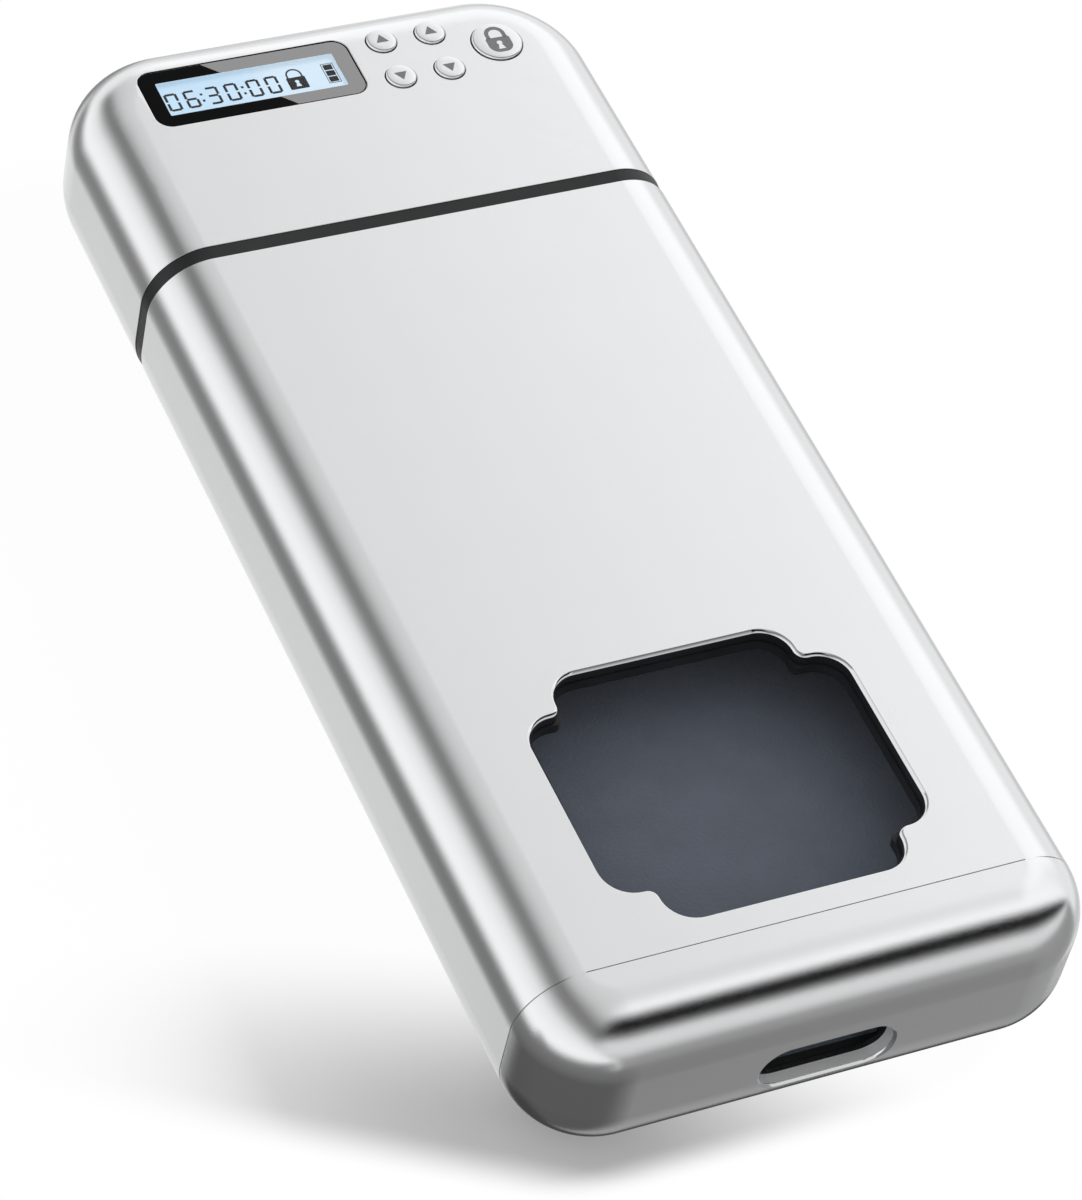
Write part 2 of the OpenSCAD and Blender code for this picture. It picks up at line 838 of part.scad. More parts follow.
// Lit plate below the display
module lcd_backlight() {
  plate_l = lcd_l - connector_l - backlight_apart;
  color([0.75, 0.88, 0.98])
    translate([lens_x, lcd_y + (lcd_l - plate_l) / 2, lcd_z - backlight_t - backlight_drop])
      linear_extrude(backlight_t)
        round_rect(lcd_w - 2 * backlight_gap, plate_l - backlight_gap, backlight_r);
}

// Two rubber strips that join the display's contacts to the board
module lcd_connectors() {
  strip_w = (lcd_w - connector_split - connector_margin) / 2;
  strip_y = lcd_y - lcd_l / 2 + connector_l / 2 + connector_inset;
  color([0.55, 0.56, 0.60])
    for (side = [-1, 1])
      translate([lens_x + side * (strip_w + connector_split) / 2, strip_y, board_top_z])
        linear_extrude(lcd_z - board_top_z) square([strip_w, connector_l], center = true);
}

module main_board() {
  color(board_green)
    difference() {
      translate([0, 0, board_z])
        linear_extrude(board_t)
          difference() {
            translate([-board_half_w, board_foot_y])
              square([2 * board_half_w, board_head_y - board_foot_y]);
            for (side = [0, 1])
              mirror([side, 0]) {
                translate([board_half_w, board_head_y]) corner_cut(board_r);
                translate([board_half_w, board_foot_y]) mirror([0, 1]) corner_cut(board_foot_r);
              }
          }
      for (p = board_spots)
        translate([p[0], p[1], board_z - over])
          cylinder(h = board_t + 2 * over, r = small_screw_r + clear_hole_gap);
    }
}

// Chips, plugs and a capacitor below the main board
module board_components() {
  color([0.12, 0.12, 0.13]) {
    below_board(part_spot_chip, chip_t) square(chip_w, center = true);
    below_board(part_spot_memory, memory_t) square([memory_w, memory_l], center = true);
    below_board(part_spot_crystal, crystal_t) round_rect(crystal_w, crystal_l, crystal_l / 2 - 0.1);
  }
  color([0.9, 0.88, 0.8])
    for (spot = part_spot_plugs)
      plug_socket(spot);
  color(steel)
    below_board(part_spot_capacitor, capacitor_t) circle(capacitor_r);
}

// A drawing made into a part that hangs below the main board
module below_board(spot, depth) {
  translate([spot[0], head_y - spot[1], board_z - depth]) linear_extrude(depth) children();
}

// A two-pole plug socket, open towards the head end
module plug_socket(spot) {
  difference() {
    below_board(spot, plug_h) square([plug_w, plug_l], center = true);
    translate([spot[0], head_y - spot[1] + plug_back, board_z - plug_h - over])
      linear_extrude(plug_h + over - plug_roof) square([plug_w - 2 * plug_wall, plug_l], center = true);
  }
}

module tact_switches() {
  color([0.15, 0.15, 0.16])
    for (b = button_spots)
      translate([b[0], b[1], board_top_z]) {
        linear_extrude(switch_body_t) round_rect(switch_w, switch_w, switch_r);
        translate([0, 0, switch_body_t - eps])
          cylinder(h = switch_h - switch_body_t + eps, r = switch_plunger_r);
      }
}

module board_screws() {
  color(steel)
    for (p = board_spots)
      translate([p[0], p[1], board_z])
        screw(small_screw_r, board_t + board_screw_grip, small_head_r, small_head_t);
}

// ---------------------------------------------------------------- buttons

// A button with a rounded rim, a flange behind the wall and a foot over its switch
module button(x, y, d) {
  r = d / 2;
  top = body_t + button_proud;
  color(silver)
    translate([x, y, 0]) {
      rotate_extrude()
        difference() {
          translate([0, flange_top_z - flange_t]) square([r, top - flange_top_z + flange_t]);
          translate([r, top]) corner_cut(button_rim_r);
        }
      translate([0, 0, flange_top_z - flange_t]) cylinder(h = flange_t, r = r + flange_rim);
      translate([0, 0, button_foot_z])
        cylinder(h = flange_top_z - flange_t - button_foot_z + eps, r = button_foot_r);
    }
}

module hours_up_button() { button(hours_x, up_y, set_button_d); }
module hours_down_button() { button(hours_x, down_y, set_button_d); }
module minutes_up_button() { button(minutes_x, up_y, set_button_d); }
module minutes_down_button() { button(minutes_x, down_y, set_button_d); }
module lock_button() { button(lock_x, lock_y, lock_button_d); }

// ---------------------------------------------------------------- bulkhead and drive frame

module bulkhead() {
  color(black)
    difference() {
      union() {
        along_body(bulkhead_y, drive_y) body_section(liner_out);
        for (x = [-post_x, post_x])
          for (z = post_z)
            rod_y(x, z, post_r, drive_y - eps, frame_y);
        for (turn = [0, 180]) bolt_guides(turn);
      }
      for (side = [0, 1])
        mirror([side, 0, 0])
          block([tongue_in_x - catch_gap, bulkhead_y - over, drive_z - tongue_h / 2 - catch_gap],
                [body_w, drive_y + over, drive_z + tongue_h / 2 + catch_gap]);
      for (p = bulkhead_screw_spots) {
        rod_y(p[0], p[1], small_screw_r + clear_hole_gap, bulkhead_y - over, drive_y + over);
        rod_y(p[0], p[1], bulkhead_head_r + bulkhead_head_gap, bulkhead_y - over,
              bulkhead_y + bulkhead_head_t);
      }
      for (x = [-post_x, post_x])
        for (z = post_z)
          rod_y(x, z, small_screw_r + screw_gap, drive_y, frame_y + over);
    }
}

// The rail behind one rack and the two blocks beside one bolt's tip, turned about the pinion's axis
module bolt_guides(turn) {
  rail_z = rack_z + rack_t + bolt_gap;
  tip_z = bolt_t / 2 + bolt_gap;
  block_x = frame_half_w - guide_in;
  guide_end = frame_y - bolt_gap;
  translate([0, 0, drive_z])
    rotate([0, turn, 0]) {
      block([-rack_end_x - rail_over, drive_y - eps, rail_z],
            [riser_x + riser_w + bolt_travel, guide_end, rail_z + guide_t]);
      for (z = [tip_z, -tip_z - guide_block_h])
        block([block_x, drive_y - eps, z], [block_x + guide_block_w, guide_end, z + guide_block_h]);
    }
}

module bulkhead_screws() {
  seat_y = bulkhead_y + bulkhead_head_t;
  color(steel)
    for (p = bulkhead_screw_spots)
      point_y(p[0], seat_y, p[1], 1)
        screw(small_screw_r, drive_y - seat_y + bulkhead_screw_l, bulkhead_head_r, small_head_t);
}

module drive_frame() {
  gap = cradle_gap;
  color([0.16, 0.16, 0.17])
    difference() {
      union() {
        block([-frame_half_w, frame_y, frame_low_z], [frame_half_w, gearbox_y, frame_high_z]);
        shelf();
        for (y = cradle_spots)
          block([-motor_w / 2 - gap - cradle_wall, y, shelf_top_z - eps],
                [motor_w / 2 + gap + cradle_wall, y + cradle_l, drive_z - cradle_top]);
        stop_y = battery_y + battery_l + battery_gap;
        block([battery_x + battery_stop_in, stop_y, shelf_top_z - eps],
              [battery_x + battery_w - battery_stop_out, stop_y + battery_stop_t,
               shelf_top_z + battery_stop_h]);
        for (p = charge_spots)
          translate([p[0], p[1], shelf_top_z - eps])
            cylinder(h = charge_board_z - shelf_top_z + eps, r = board_post_r);
      }
      motor_outline(motor_w + 2 * gap, motor_h + 2 * gap, gearbox_y, head_y);
      rod_y(0, drive_z, shaft_d / 2 + shaft_hole_gap, frame_y - over, gearbox_y + over);
      for (x = [-motor_screw_x, motor_screw_x])
        rod_y(x, drive_z, motor_screw_r + clear_hole_gap, frame_y - over, gearbox_y + over);
      for (x = [-post_x, post_x]) {
        for (z = post_z)
          rod_y(x, z, small_screw_r + clear_hole_gap, frame_y - over, gearbox_y + over);
        rod_y(x, post_z[0], small_head_r + relief_gap, gearbox_y, gearbox_y + 2 * small_head_t);
      }
      hole_z = charge_board_z + charge_board_t - charge_screw_grip - charge_hole_end;
      for (p = charge_spots)
        translate([p[0], p[1], hole_z])
          cylinder(h = charge_board_z - hole_z + over, r = small_screw_r + screw_gap);
    }
}

// Floor of the drive frame, with the head's round corners
module shelf() {
  translate([0, 0, shelf_z])
    linear_extrude(shelf_t)
      difference() {
        translate([-shelf_half_w, gearbox_y - eps])
          square([2 * shelf_half_w, shelf_end_y - gearbox_y]);
        for (side = [0, 1])
          mirror([side, 0]) {
            translate([shelf_half_w, shelf_end_y]) corner_cut(shelf_r);
            translate([shelf_half_w, gearbox_y]) mirror([0, 1]) corner_cut(shelf_foot_r);
          }
      }
}

// Box that is as wide and high as the gear motor
module motor_outline(w, h, y0, y1) {
  block([-w / 2, y0, drive_z - h / 2], [w / 2, y1, drive_z + h / 2]);
}

module frame_screws() {
  color(steel)
    for (x = [-post_x, post_x])
      for (z = post_z)
        point_y(x, gearbox_y, z, -1)
          screw(small_screw_r, frame_t + frame_screw_grip, small_head_r, small_head_t);
}

// ---------------------------------------------------------------- gear motor

// Two end plates with spacers and the last gears of the train between them
module gearbox() {
  plate_end = motor_y - gear_plate_t / 2;
  color(brass)
    difference() {
      union() {
        motor_outline(motor_w, motor_h, gearbox_y, gearbox_y + front_plate_t);
        motor_outline(motor_w, motor_h, motor_y - gear_plate_t, motor_y);
        for (x = [-1, 1])
          for (z = [-1, 1])
            rod_y(x * (motor_w / 2 - spacer_in), drive_z + z * (motor_h / 2 - spacer_in), spacer_r,
                  gearbox_y + gear_plate_t, plate_end);
        rod_y(0, drive_z, last_gear_r, gearbox_y + last_gear_y, plate_end);
      }
      rod_y(0, drive_z, shaft_d / 2 + shaft_gap, gearbox_y - over, gearbox_y + shaft_hole_l);
      for (x = [-motor_screw_x, motor_screw_x])
        rod_y(x, drive_z, motor_screw_r + screw_gap, gearbox_y - over,
              gearbox_y + motor_screw_grip + shaft_end_gap);
    }
}

module motor() {
  can_end = motor_y + motor_l - motor_cap_t;
  color(steel)
    intersection() {
      rod_y(0, drive_z, motor_w / 2, motor_y, can_end);
      motor_outline(motor_w, motor_h, motor_y - over, can_end + over);
    }
  color([0.9, 0.9, 0.88])
    intersection() {
      rod_y(0, drive_z, motor_w / 2 - motor_cap_in, can_end, motor_y + motor_l);
      motor_outline(motor_w, motor_h - motor_cap_in, can_end - over, motor_y + motor_l + over);
    }
}

module motor_screws() {
  color(steel)
    for (x = [-motor_screw_x, motor_screw_x])
      point_y(x, frame_y, drive_z, 1)
        screw(motor_screw_r, frame_t + motor_screw_grip, motor_screw_head_r, motor_screw_head_t);
}

// The gear motor's output shaft, with a flat along its free end
module motor_shaft() {
  flat_z = drive_z + shaft_d / 2 - shaft_flat;
  color(steel)
    difference() {
      rod_y(0, drive_z, shaft_d / 2, pinion_y - shaft_end_gap,
            gearbox_y + shaft_hole_l - shaft_end_gap);
      block([-shaft_d, pinion_y - over, flat_z], [shaft_d, pinion_y + pinion_w, flat_z + shaft_d]);
    }
}

// ---------------------------------------------------------------- rack and pinion

base_r = pitch_r * cos(pressure_angle);
root_r = pitch_r - tooth_root;
tip_r = pitch_r + tooth_top;

// Angle that an involute turns from its base circle out to radius r, in degrees
function involute_angle(r) =
  let (tangent = sqrt(max(0, pow(r / base_r, 2) - 1)))
  tangent * 180 / PI - atan(tangent);

// Half the angle of a tooth at radius r, in degrees
function tooth_half_angle(r) =
  90 / pinion_teeth - tooth_play * 90 / PI / pitch_r
  + involute_angle(pitch_r) - involute_angle(max(r, base_r));

flank_steps = 4;
flank_radii = [for (i = [0 : flank_steps]) base_r + (tip_r - base_r) * i / flank_steps];

// One tooth's outline, up one flank and down the other, pointing at the given angle
function tooth_points(angle) = concat(
  [on_circle(root_r, angle - tooth_half_angle(base_r))],
  [for (r = flank_radii) on_circle(r, angle - tooth_half_angle(r))],
  [for (i = [flank_steps : -1 : 0]) on_circle(flank_radii[i], angle + tooth_half_angle(flank_radii[i]))],
  [on_circle(root_r, angle + tooth_half_angle(base_r))]);

function on_circle(r, angle) = [r * cos(angle), r * sin(angle)];

module pinion_gear() {
  outline = [for (i = [0 : pinion_teeth - 1]) each tooth_points(90 + i * 360 / pinion_teeth)];
  flat_y = shaft_d / 2 - shaft_flat;
  color(brass)
    translate([0, pinion_y + pinion_w, drive_z])
      rotate([90, 0, 0])
        linear_extrude(pinion_w)
          difference() {
            polygon(outline);
            difference() {
              circle(shaft_d / 2 + eps);
              translate([-shaft_d, flat_y + eps]) square(2 * shaft_d);
            }
          }
}

// The rack's teeth along x, pointing down from the bar, with a gap over the pinion's top tooth
module rack_teeth(first, last) {
  slope = tan(pressure_angle);
  half = rack_pitch / 4 - tooth_play / 2;
  for (i = [first : last])
    translate([(i + 0.5) * rack_pitch, 0])
      polygon([[-half - tooth_root * slope, tooth_root + eps], [-half + tooth_top * slope, -tooth_top],
               [half - tooth_top * slope, -tooth_top], [half + tooth_root * slope, tooth_root + eps]]);
}

// A bolt drawn on the pinion's axis: the rack rides above the pinion and the tip points to +X
module bolt() {
  tip = bolt_tip_x;
  half_t = bolt_t / 2;
  bar_top = rack_z + rack_t;
  body = [[-rack_end_x, rack_z], [riser_x, rack_z], [riser_x, -half_t], [tip - bolt_lead, -half_t],
          [tip, -half_t + bolt_lead], [tip, half_t - bolt_lead], [tip - bolt_lead, half_t],
          [riser_x + riser_w, half_t], [riser_x + riser_w, bar_top], [-rack_end_x, bar_top]];
  translate([0, bolt_y + bolt_w, 0])
    rotate([90, 0, 0])
      linear_extrude(bolt_w) {
        polygon(body);
        translate([0, pitch_r]) rack_teeth(rack_first, rack_last);
      }
}

module right_bolt() {
  color(steel) translate([0, 0, drive_z]) bolt();
}

module left_bolt() {
  color(steel) translate([0, 0, drive_z]) rotate([0, 180, 0]) bolt();
}

// ---------------------------------------------------------------- battery and charging board

// Pouch cell with soft long edges and its sealed flap at the head end
module battery_cell() {
  flap_y = battery_y + battery_l - battery_flap_l;
  color([0.70, 0.72, 0.75]) {
    translate([battery_x + battery_w / 2, 0, battery_z + battery_t / 2])
      along_body(battery_y, flap_y) round_rect(battery_w, battery_t, battery_edge_r);
    block([battery_x + battery_flap_in, flap_y - eps, battery_z + battery_flap_low],
          [battery_x + battery_w - battery_flap_in, battery_y + battery_l,
           battery_z + battery_t - 2 * battery_flap_low]);
  }
}

module charge_board() {
  board_l = charge_board_end_y - charge_board_y;
  color(board_green)
    difference() {
      translate([charge_board_x, charge_board_y, charge_board_z])
        linear_extrude(charge_board_t)
          difference() {
            square([charge_board_w, board_l]);
            translate([charge_board_w, board_l]) corner_cut(charge_board_r);
          }
      for (p = charge_spots)
        translate([p[0], p[1], charge_board_z - over])
          cylinder(h = charge_board_t + 2 * over, r = small_screw_r + clear_hole_gap);
    }
}

module charge_board_screws() {
  color(steel)
    for (p = charge_spots)
      translate([p[0], p[1], charge_board_z + charge_board_t])
        mirror([0, 0, 1]) screw(small_screw_r, charge_screw_grip, small_head_r, small_head_t);
}

// Metal shell with the contact tongue in its middle
module charge_socket() {
  in_w = socket_w - 2 * socket_shell;
  in_h = socket_h - 2 * socket_shell;
  color(steel)
    translate([socket_x, head_y - socket_inset - socket_l, socket_z + socket_h / 2])
      rotate([-90, 0, 0]) {
        difference() {
          linear_extrude(socket_l) round_rect(socket_w, socket_h, socket_h / 2 - screw_gap);
          translate([0, 0, socket_back])
            linear_extrude(socket_l) round_rect(in_w, in_h, in_h / 2 - screw_gap);
        }
        linear_extrude(socket_l - socket_tongue_in)
          square([socket_tongue_w, socket_tongue_t], center = true);
      }
}

module sounder() {
  color([0.10, 0.10, 0.11])
    translate([sounder_x, charge_board_y + sounder_y_gap, charge_board_z + charge_board_t])
      difference() {
        cylinder(h = sounder_h, r = sounder_r);
        translate([0, 0, sounder_h - sounder_hole_depth])
          cylinder(h = sounder_hole_depth + over, r = sounder_hole_r);
      }
}

// ---------------------------------------------------------------- nodes

sleeve();
end_cap();
inner_liner();
back_pad();
end_bumper();
end_cap_screws();
head_shell();
display_lens();
lcd_frame();
lcd_panel();
lcd_backlight();
lcd_connectors();
main_board();
board_components();
tact_switches();
board_screws();
bulkhead();
bulkhead_screws();
drive_frame();
frame_screws();
gearbox();
motor();
motor_screws();
battery_cell();
charge_board();
charge_socket();
sounder();
charge_board_screws();
hours_up_button();
hours_down_button();
minutes_up_button();
minutes_down_button();
lock_button();
motor_shaft();
pinion_gear();
left_bolt();
right_bolt();
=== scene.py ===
"""Timed lock container: shells, display, buttons, liner and foam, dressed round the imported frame.

All sizes are millimetres, in the frame's own axes: X is the width, +Y points to the lock head and +Z out of
the front. MM turns them into metres in one place, where a piece's mesh is made.
"""
import logging
import math
from dataclasses import dataclass, field
from enum import Enum
from typing import Callable, Iterable, Sequence

import bmesh
import bpy
from mathutils import Matrix, Vector
from mathutils.geometry import delaunay_2d_cdt


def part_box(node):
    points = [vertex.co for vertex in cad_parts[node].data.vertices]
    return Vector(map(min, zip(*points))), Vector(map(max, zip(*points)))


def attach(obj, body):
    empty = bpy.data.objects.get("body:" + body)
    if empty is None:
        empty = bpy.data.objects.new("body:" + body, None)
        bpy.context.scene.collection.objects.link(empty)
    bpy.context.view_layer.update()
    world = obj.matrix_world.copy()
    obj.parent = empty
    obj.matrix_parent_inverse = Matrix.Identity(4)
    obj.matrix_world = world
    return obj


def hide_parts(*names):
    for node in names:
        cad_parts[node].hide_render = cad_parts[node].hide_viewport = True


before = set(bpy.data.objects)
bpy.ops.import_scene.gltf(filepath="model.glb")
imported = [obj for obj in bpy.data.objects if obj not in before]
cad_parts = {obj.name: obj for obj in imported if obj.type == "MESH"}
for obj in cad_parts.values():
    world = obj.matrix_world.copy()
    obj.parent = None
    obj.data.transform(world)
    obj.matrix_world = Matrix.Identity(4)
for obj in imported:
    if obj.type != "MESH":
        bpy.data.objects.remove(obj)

LOG = logging.getLogger("lock_container")
MM = 0.001

WELD = 0.002
"""Points of a piece that lie closer together than this become one."""

ARC_STEPS = 24
"""The number of straight pieces in each quarter of the body's rounded form."""

HOLD = 0.04
"""Width of the narrow flat strip beside a rounded edge, which keeps the shading of the flat even."""

EDGE_TURNS = (0, 30, 60, 90)
"""The steps of a fine rounded edge, in degrees."""

NOISE_REACH = (0.3, 0.7)
"""The values between which nearly all of a noise lies."""

TINT_REACH = (0.35, 0.65)
"""The values of a noise between which a tint goes from one colour to the other."""

Colour = tuple[float, float, float]
Flat = tuple[float, float]


# ---------------------------------------------------------------- outlines and meshes


@dataclass(frozen=True)
class Station:
    """A point on an outline with the direction that points out of the outline there."""

    x: float
    y: float
    out_x: float
    out_y: float

    def moved(self, out: float) -> Flat:
        """The point, moved this far out of the outline."""
        return self.x + self.out_x * out, self.y + self.out_y * out


Ring = tuple[list[Station], float, float]
"""A ring of a hole: its outline, how far out of the outline it lies, and how deep."""


@dataclass(frozen=True)
class Corner:
    """A corner of an outline that is rounded off with a radius."""

    x: float
    y: float
    radius: float


def rounded_outline(corners: Sequence[Corner], steps: int = 8) -> list[Station]:
    """Walks an outline with round corners once, anticlockwise.

    Args:
        corners: the outline's corners in anticlockwise order.
        steps: the number of straight pieces in each round corner.

    Returns:
        The outline's points, each with the direction out of the outline.
    """
    stations = []
    for index, corner in enumerate(corners):
        before = corners[index - 1]
        after = corners[(index + 1) % len(corners)]
        here = Vector((corner.x, corner.y))
        way_in = (here - Vector((before.x, before.y))).normalized()
        way_out = (Vector((after.x, after.y)) - here).normalized()
        turn = math.atan2(way_in.x * way_out.y - way_in.y * way_out.x, way_in.dot(way_out))
        first = math.atan2(-way_in.x, way_in.y)
        side = 1.0 if turn > 0 else -1.0
        back = corner.radius * math.tan(abs(turn) / 2)
        centre = here - way_in * back - side * corner.radius * Vector((way_in.y, -way_in.x))
        for step in range(steps + 1):
            angle = first + turn * step / steps
            out = Vector((math.cos(angle), math.sin(angle)))
            point = centre + side * corner.radius * out
            stations.append(Station(point.x, point.y, out.x, out.y))
    return stations


def round_rectangle(centre: Flat, width: float, length: float, radius: float) -> list[Station]:
    """Outline of a rectangle with round corners.

    Args:
        centre: the rectangle's middle.
        width: its size along the first axis.
        length: its size along the second axis.
        radius: the radius of its corners.

    Returns:
        The outline's points.
    """
    half_w, half_l = width / 2, length / 2
    signs = ((-1, -1), (1, -1), (1, 1), (-1, 1))
    corners = [Corner(centre[0] + sx * half_w, centre[1] + sy * half_l, radius) for sx, sy in signs]
    return rounded_outline(corners)


def circle(centre: Flat, radius: float, steps: int = 64) -> list[Station]:
    """Outline of a circle.

    Args:
        centre: the circle's middle.
        radius: its radius.
        steps: the number of straight pieces.

    Returns:
        The outline's points.
    """
    turns = [math.tau * step / steps for step in range(steps)]
    return [
        Station(centre[0] + radius * math.cos(a), centre[1] + radius * math.sin(a), math.cos(a), math.sin(a))
        for a in turns
    ]


def inside(point: Flat | Vector, loop: Sequence[Flat]) -> bool:
    """Says whether a point lies inside a closed loop.

    Args:
        point: the point.
        loop: the loop's points in order.

    Returns:
        True if the point is inside.
    """
    found = False
    for (ax, ay), (bx, by) in zip(loop, [*loop[1:], loop[0]]):
        if (ay > point[1]) != (by > point[1]) and point[0] < (bx - ax) * (point[1] - ay) / (by - ay) + ax:
            found = not found
    return found


class MeshPlan:
    """Collects the faces of one piece, in millimetres, and makes them into an object."""

    def __init__(self) -> None:
        """Starts with no faces."""
        self.faces: list[tuple[list[Vector], int]] = []

    def face(self, corners: Iterable[Vector], finish: int = 0) -> None:
        """Adds one face.

        Args:
            corners: its corners in order.
            finish: the number of its material slot.
        """
        self.faces.append((list(corners), finish))

    def bridge(
        self,
        first: Sequence[Vector],
        second: Sequence[Vector],
        closed: bool = True,
        finish: int = 0,
        skip: Iterable[int] = (),
    ) -> None:
        """Joins two rows of as many points with four-sided faces.

        Args:
            first: one row.
            second: the other row.
            closed: whether the rows are rings.
            finish: the number of the material slot.
            skip: the numbers of the faces to leave out.
        """
        count = len(first)
        left_out = set(skip)
        for index in range(count if closed else count - 1):
            after = (index + 1) % count
            if index not in left_out:
                self.face((first[index], first[after], second[after], second[index]), finish)

    def loft(self, rows: Sequence[Sequence[Vector]], closed: bool = True, finish: int = 0) -> None:
        """Joins each row to the next.

        Args:
            rows: the rows, each of as many points.
            closed: whether the rows are rings.
            finish: the number of the material slot.
        """
        for first, second in zip(rows, rows[1:]):
            self.bridge(first, second, closed, finish)

    def fill(
        self,
        loops: Sequence[Sequence[Flat]],
        lift: Callable[[float, float], Vector],
        finish: int = 0,
        within: Iterable[Flat] = (),
    ) -> None:
        """Fills the area inside the first loop and outside the others.

        Args:
            loops: the outer loop, and the loops of its holes.
            lift: turns a flat point into a point of the piece.
            finish: the number of the material slot.
            within: further points that the faces have to go through.
        """
        points: list[Flat] = []
        edges: list[tuple[int, int]] = []
        for loop in loops:
            start = len(points)
            points += loop
            edges += [(start + i, start + (i + 1) % len(loop)) for i in range(len(loop))]
        points += within
        found = delaunay_2d_cdt([Vector(p) for p in points], edges, [], 0, 1e-6)
        for corners in found[2]:
            triangle = [found[0][i] for i in corners]
            middle = sum(triangle, Vector((0, 0))) / len(triangle)
            if [inside(middle, loop) for loop in loops] == [True] + [False] * (len(loops) - 1):
                self.face((lift(*p) for p in triangle), finish)

    def plate(self, loops: Sequence[Sequence[Station]], low: float, high: float, finish: int = 0) -> None:
        """Adds a flat plate with holes.

        Args:
            loops: the outline, and the outlines of the holes.
            low: the height of its lower face.
            high: the height of its upper face.
            finish: the number of the material slot.
        """
        flats = [[s.moved(0) for s in loop] for loop in loops]
        for height in (low, high):
            self.fill(flats, lambda x, y, z=height: Vector((x, y, z)), finish)
        for flat in flats:
            self.bridge([Vector((*p, low)) for p in flat], [Vector((*p, high)) for p in flat], True, finish)

    def spin(self, profile: Sequence[Flat], centre: Flat, steps: int = 64, finish: int = 0) -> None:
        """Turns a profile about an upright axis. Its first and last points lie on the axis.

        Args:
            profile: pairs of radius and height.
            centre: the place of the axis.
            steps: the number of faces round it.
            finish: the number of the material slot.
        """
        rings = [[Vector((*s.moved(0), z)) for s in circle(centre, r, steps)] for r, z in profile[1:-1]]
        self.loft(rings, True, finish)
        for ring, (_, z) in ((rings[0], profile[0]), (rings[-1], profile[-1])):
            middle = Vector((*centre, z))
            for first, second in zip(ring, [*ring[1:], ring[0]]):
                self.face((middle, first, second), finish)

    def piece(
        self, name: str, finishes: Sequence[bpy.types.Material], sharp: float = 32.0
    ) -> bpy.types.Object:
        """Makes the object, with closed seams, faces that point outwards and soft shading.

        Args:
            name: the piece's name.
            finishes: its materials, in the order of the faces' slot numbers.
            sharp: edges that bend more than this angle, in degrees, stay sharp.

        Returns:
            The finished object at the origin.
        """
        draft = bmesh.new()
        for corners, finish in self.faces:
            face = draft.faces.new([draft.verts.new(c * MM) for c in corners])
            face.material_index = finish
            face.smooth = True
        bmesh.ops.remove_doubles(draft, verts=draft.verts, dist=WELD * MM)
        bmesh.ops.recalc_face_normals(draft, faces=draft.faces)
        limit = math.radians(sharp)
        for edge in draft.edges:
            edge.smooth = edge.calc_face_angle(0.0) < limit
        mesh = bpy.data.meshes.new(name)
        draft.to_mesh(mesh)
        draft.free()
        made = bpy.data.objects.new(name, mesh)
        bpy.context.scene.collection.objects.link(made)
        for material in finishes:
            mesh.materials.append(material)
        soft = made.modifiers.new("even shading", "WEIGHTED_NORMAL")
        soft.keep_sharp = True
        return made


# ---------------------------------------------------------------- finishes


